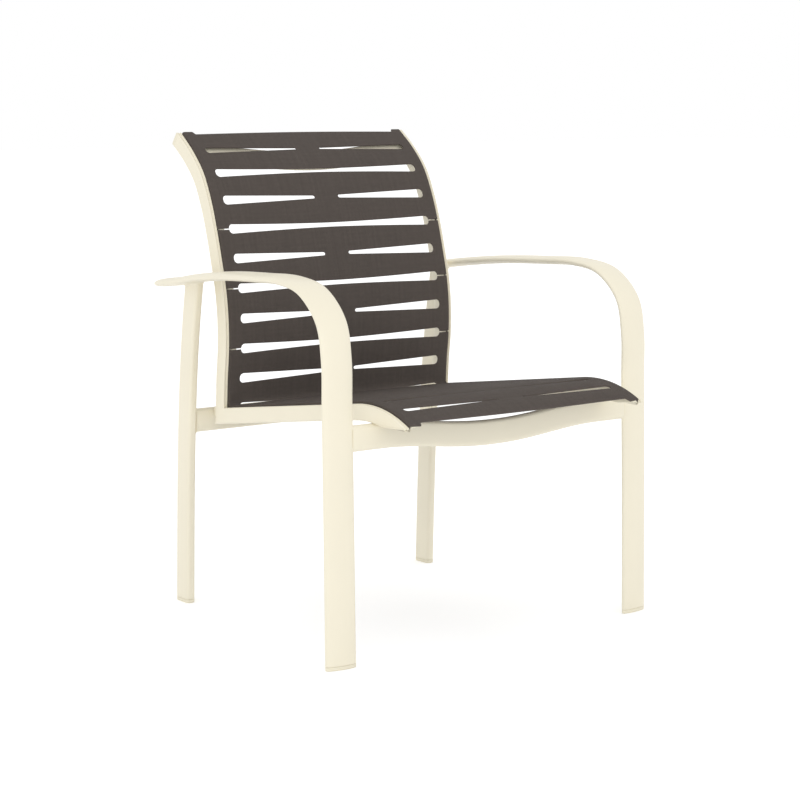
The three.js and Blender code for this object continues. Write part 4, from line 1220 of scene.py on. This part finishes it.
def camera_matrix():
    """The camera's place and turn: its yaw is counted from +Y towards +X, its pitch from
    the level, and its roll about the line of sight."""
    yaw, pitch, roll = CAMERA_ANGLES
    ahead = Vector((math.sin(yaw) * math.cos(pitch), math.cos(yaw) * math.cos(pitch),
                    math.sin(pitch)))
    level = Vector((math.cos(yaw), -math.sin(yaw), 0))
    above = level.cross(ahead)
    right = math.cos(roll) * level + math.sin(roll) * above
    up = math.cos(roll) * above - math.sin(roll) * level
    return Matrix.Translation(CAMERA_PLACE) @ Matrix((right, up, -ahead)).transposed().to_4x4()


class CHAIR_OT_stage(bpy.types.Operator):
    """Set up the pale floor, the soft light and the camera"""

    bl_idname = "sling_chair.stage"
    bl_label = "Stage"

    def execute(self, context):
        scene = context.scene
        settings = scene.chair_stage
        mesh = bpy.data.meshes.new("floor")
        corners = [(x * FLOOR_REACH, y * FLOOR_REACH, 0)
                   for x, y in ((-1, -1), (1, -1), (1, 1), (-1, 1))]
        mesh.from_pydata(corners, [], [(0, 1, 2, 3)])
        mesh.materials.append(pale_floor(settings))
        floor = bpy.data.objects.new("floor", mesh)
        scene.collection.objects.link(floor)
        scene.world = soft_sky(settings)

        lamp = bpy.data.lights.new("front_light", "AREA")
        lamp.shape = "DISK"
        lamp.size = LAMP_SIZE
        lamp.energy = settings.front_strength
        light = bpy.data.objects.new("front_light", lamp)
        scene.collection.objects.link(light)
        light.location = LAMP_PLACE
        light.rotation_euler = (LAMP_AIM - LAMP_PLACE).to_track_quat("-Z", "Y").to_euler()

        data = bpy.data.cameras.new("camera")
        data.lens = settings.lens
        data.clip_end = 200
        camera = bpy.data.objects.new("camera", data)
        scene.collection.objects.link(camera)
        camera.matrix_world = camera_matrix()
        scene.camera = camera
        scene.view_settings.view_transform = "Standard"
        return {"FINISHED"}


class CHAIR_PT_sidebar(bpy.types.Panel):
    """The chair's pieces and settings in the 3D view's sidebar"""

    bl_idname = "CHAIR_PT_sidebar"
    bl_label = "Sling chair"
    bl_space_type = "VIEW_3D"
    bl_region_type = "UI"
    bl_category = "Sling chair"

    def draw(self, context):
        for group in (context.scene.chair_frame, context.scene.chair_sling,
                      context.scene.chair_stage):
            box = self.layout.box()
            for name in group.__annotations__:
                box.prop(group, name)
        for operator in OPERATORS:
            self.layout.operator(operator.bl_idname)


GROUPS = {"chair_frame": FrameSettings, "chair_sling": SlingSettings,
          "chair_stage": StageSettings}
OPERATORS = (CHAIR_OT_arm_bars, CHAIR_OT_rear_legs, CHAIR_OT_cross_bars, CHAIR_OT_side_rails,
             CHAIR_OT_glides, CHAIR_OT_bolts, CHAIR_OT_small_parts, CHAIR_OT_sling_panels,
             CHAIR_OT_stage)


def register():
    """Register the settings, operators and panel."""
    for kind in (*GROUPS.values(), *OPERATORS, CHAIR_PT_sidebar):
        bpy.utils.register_class(kind)
    for name, kind in GROUPS.items():
        setattr(bpy.types.Scene, name, PointerProperty(type=kind))


def unregister():
    """Take the panel, operators and settings off again."""
    for name in GROUPS:
        delattr(bpy.types.Scene, name)
    for kind in (CHAIR_PT_sidebar, *reversed(OPERATORS), *GROUPS.values()):
        bpy.utils.unregister_class(kind)


def main():
    """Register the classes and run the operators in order."""
    register()
    for operator in OPERATORS:
        group, name = operator.bl_idname.split(".")
        getattr(getattr(bpy.ops, group), name)()


if __name__ == "__main__":
    main()
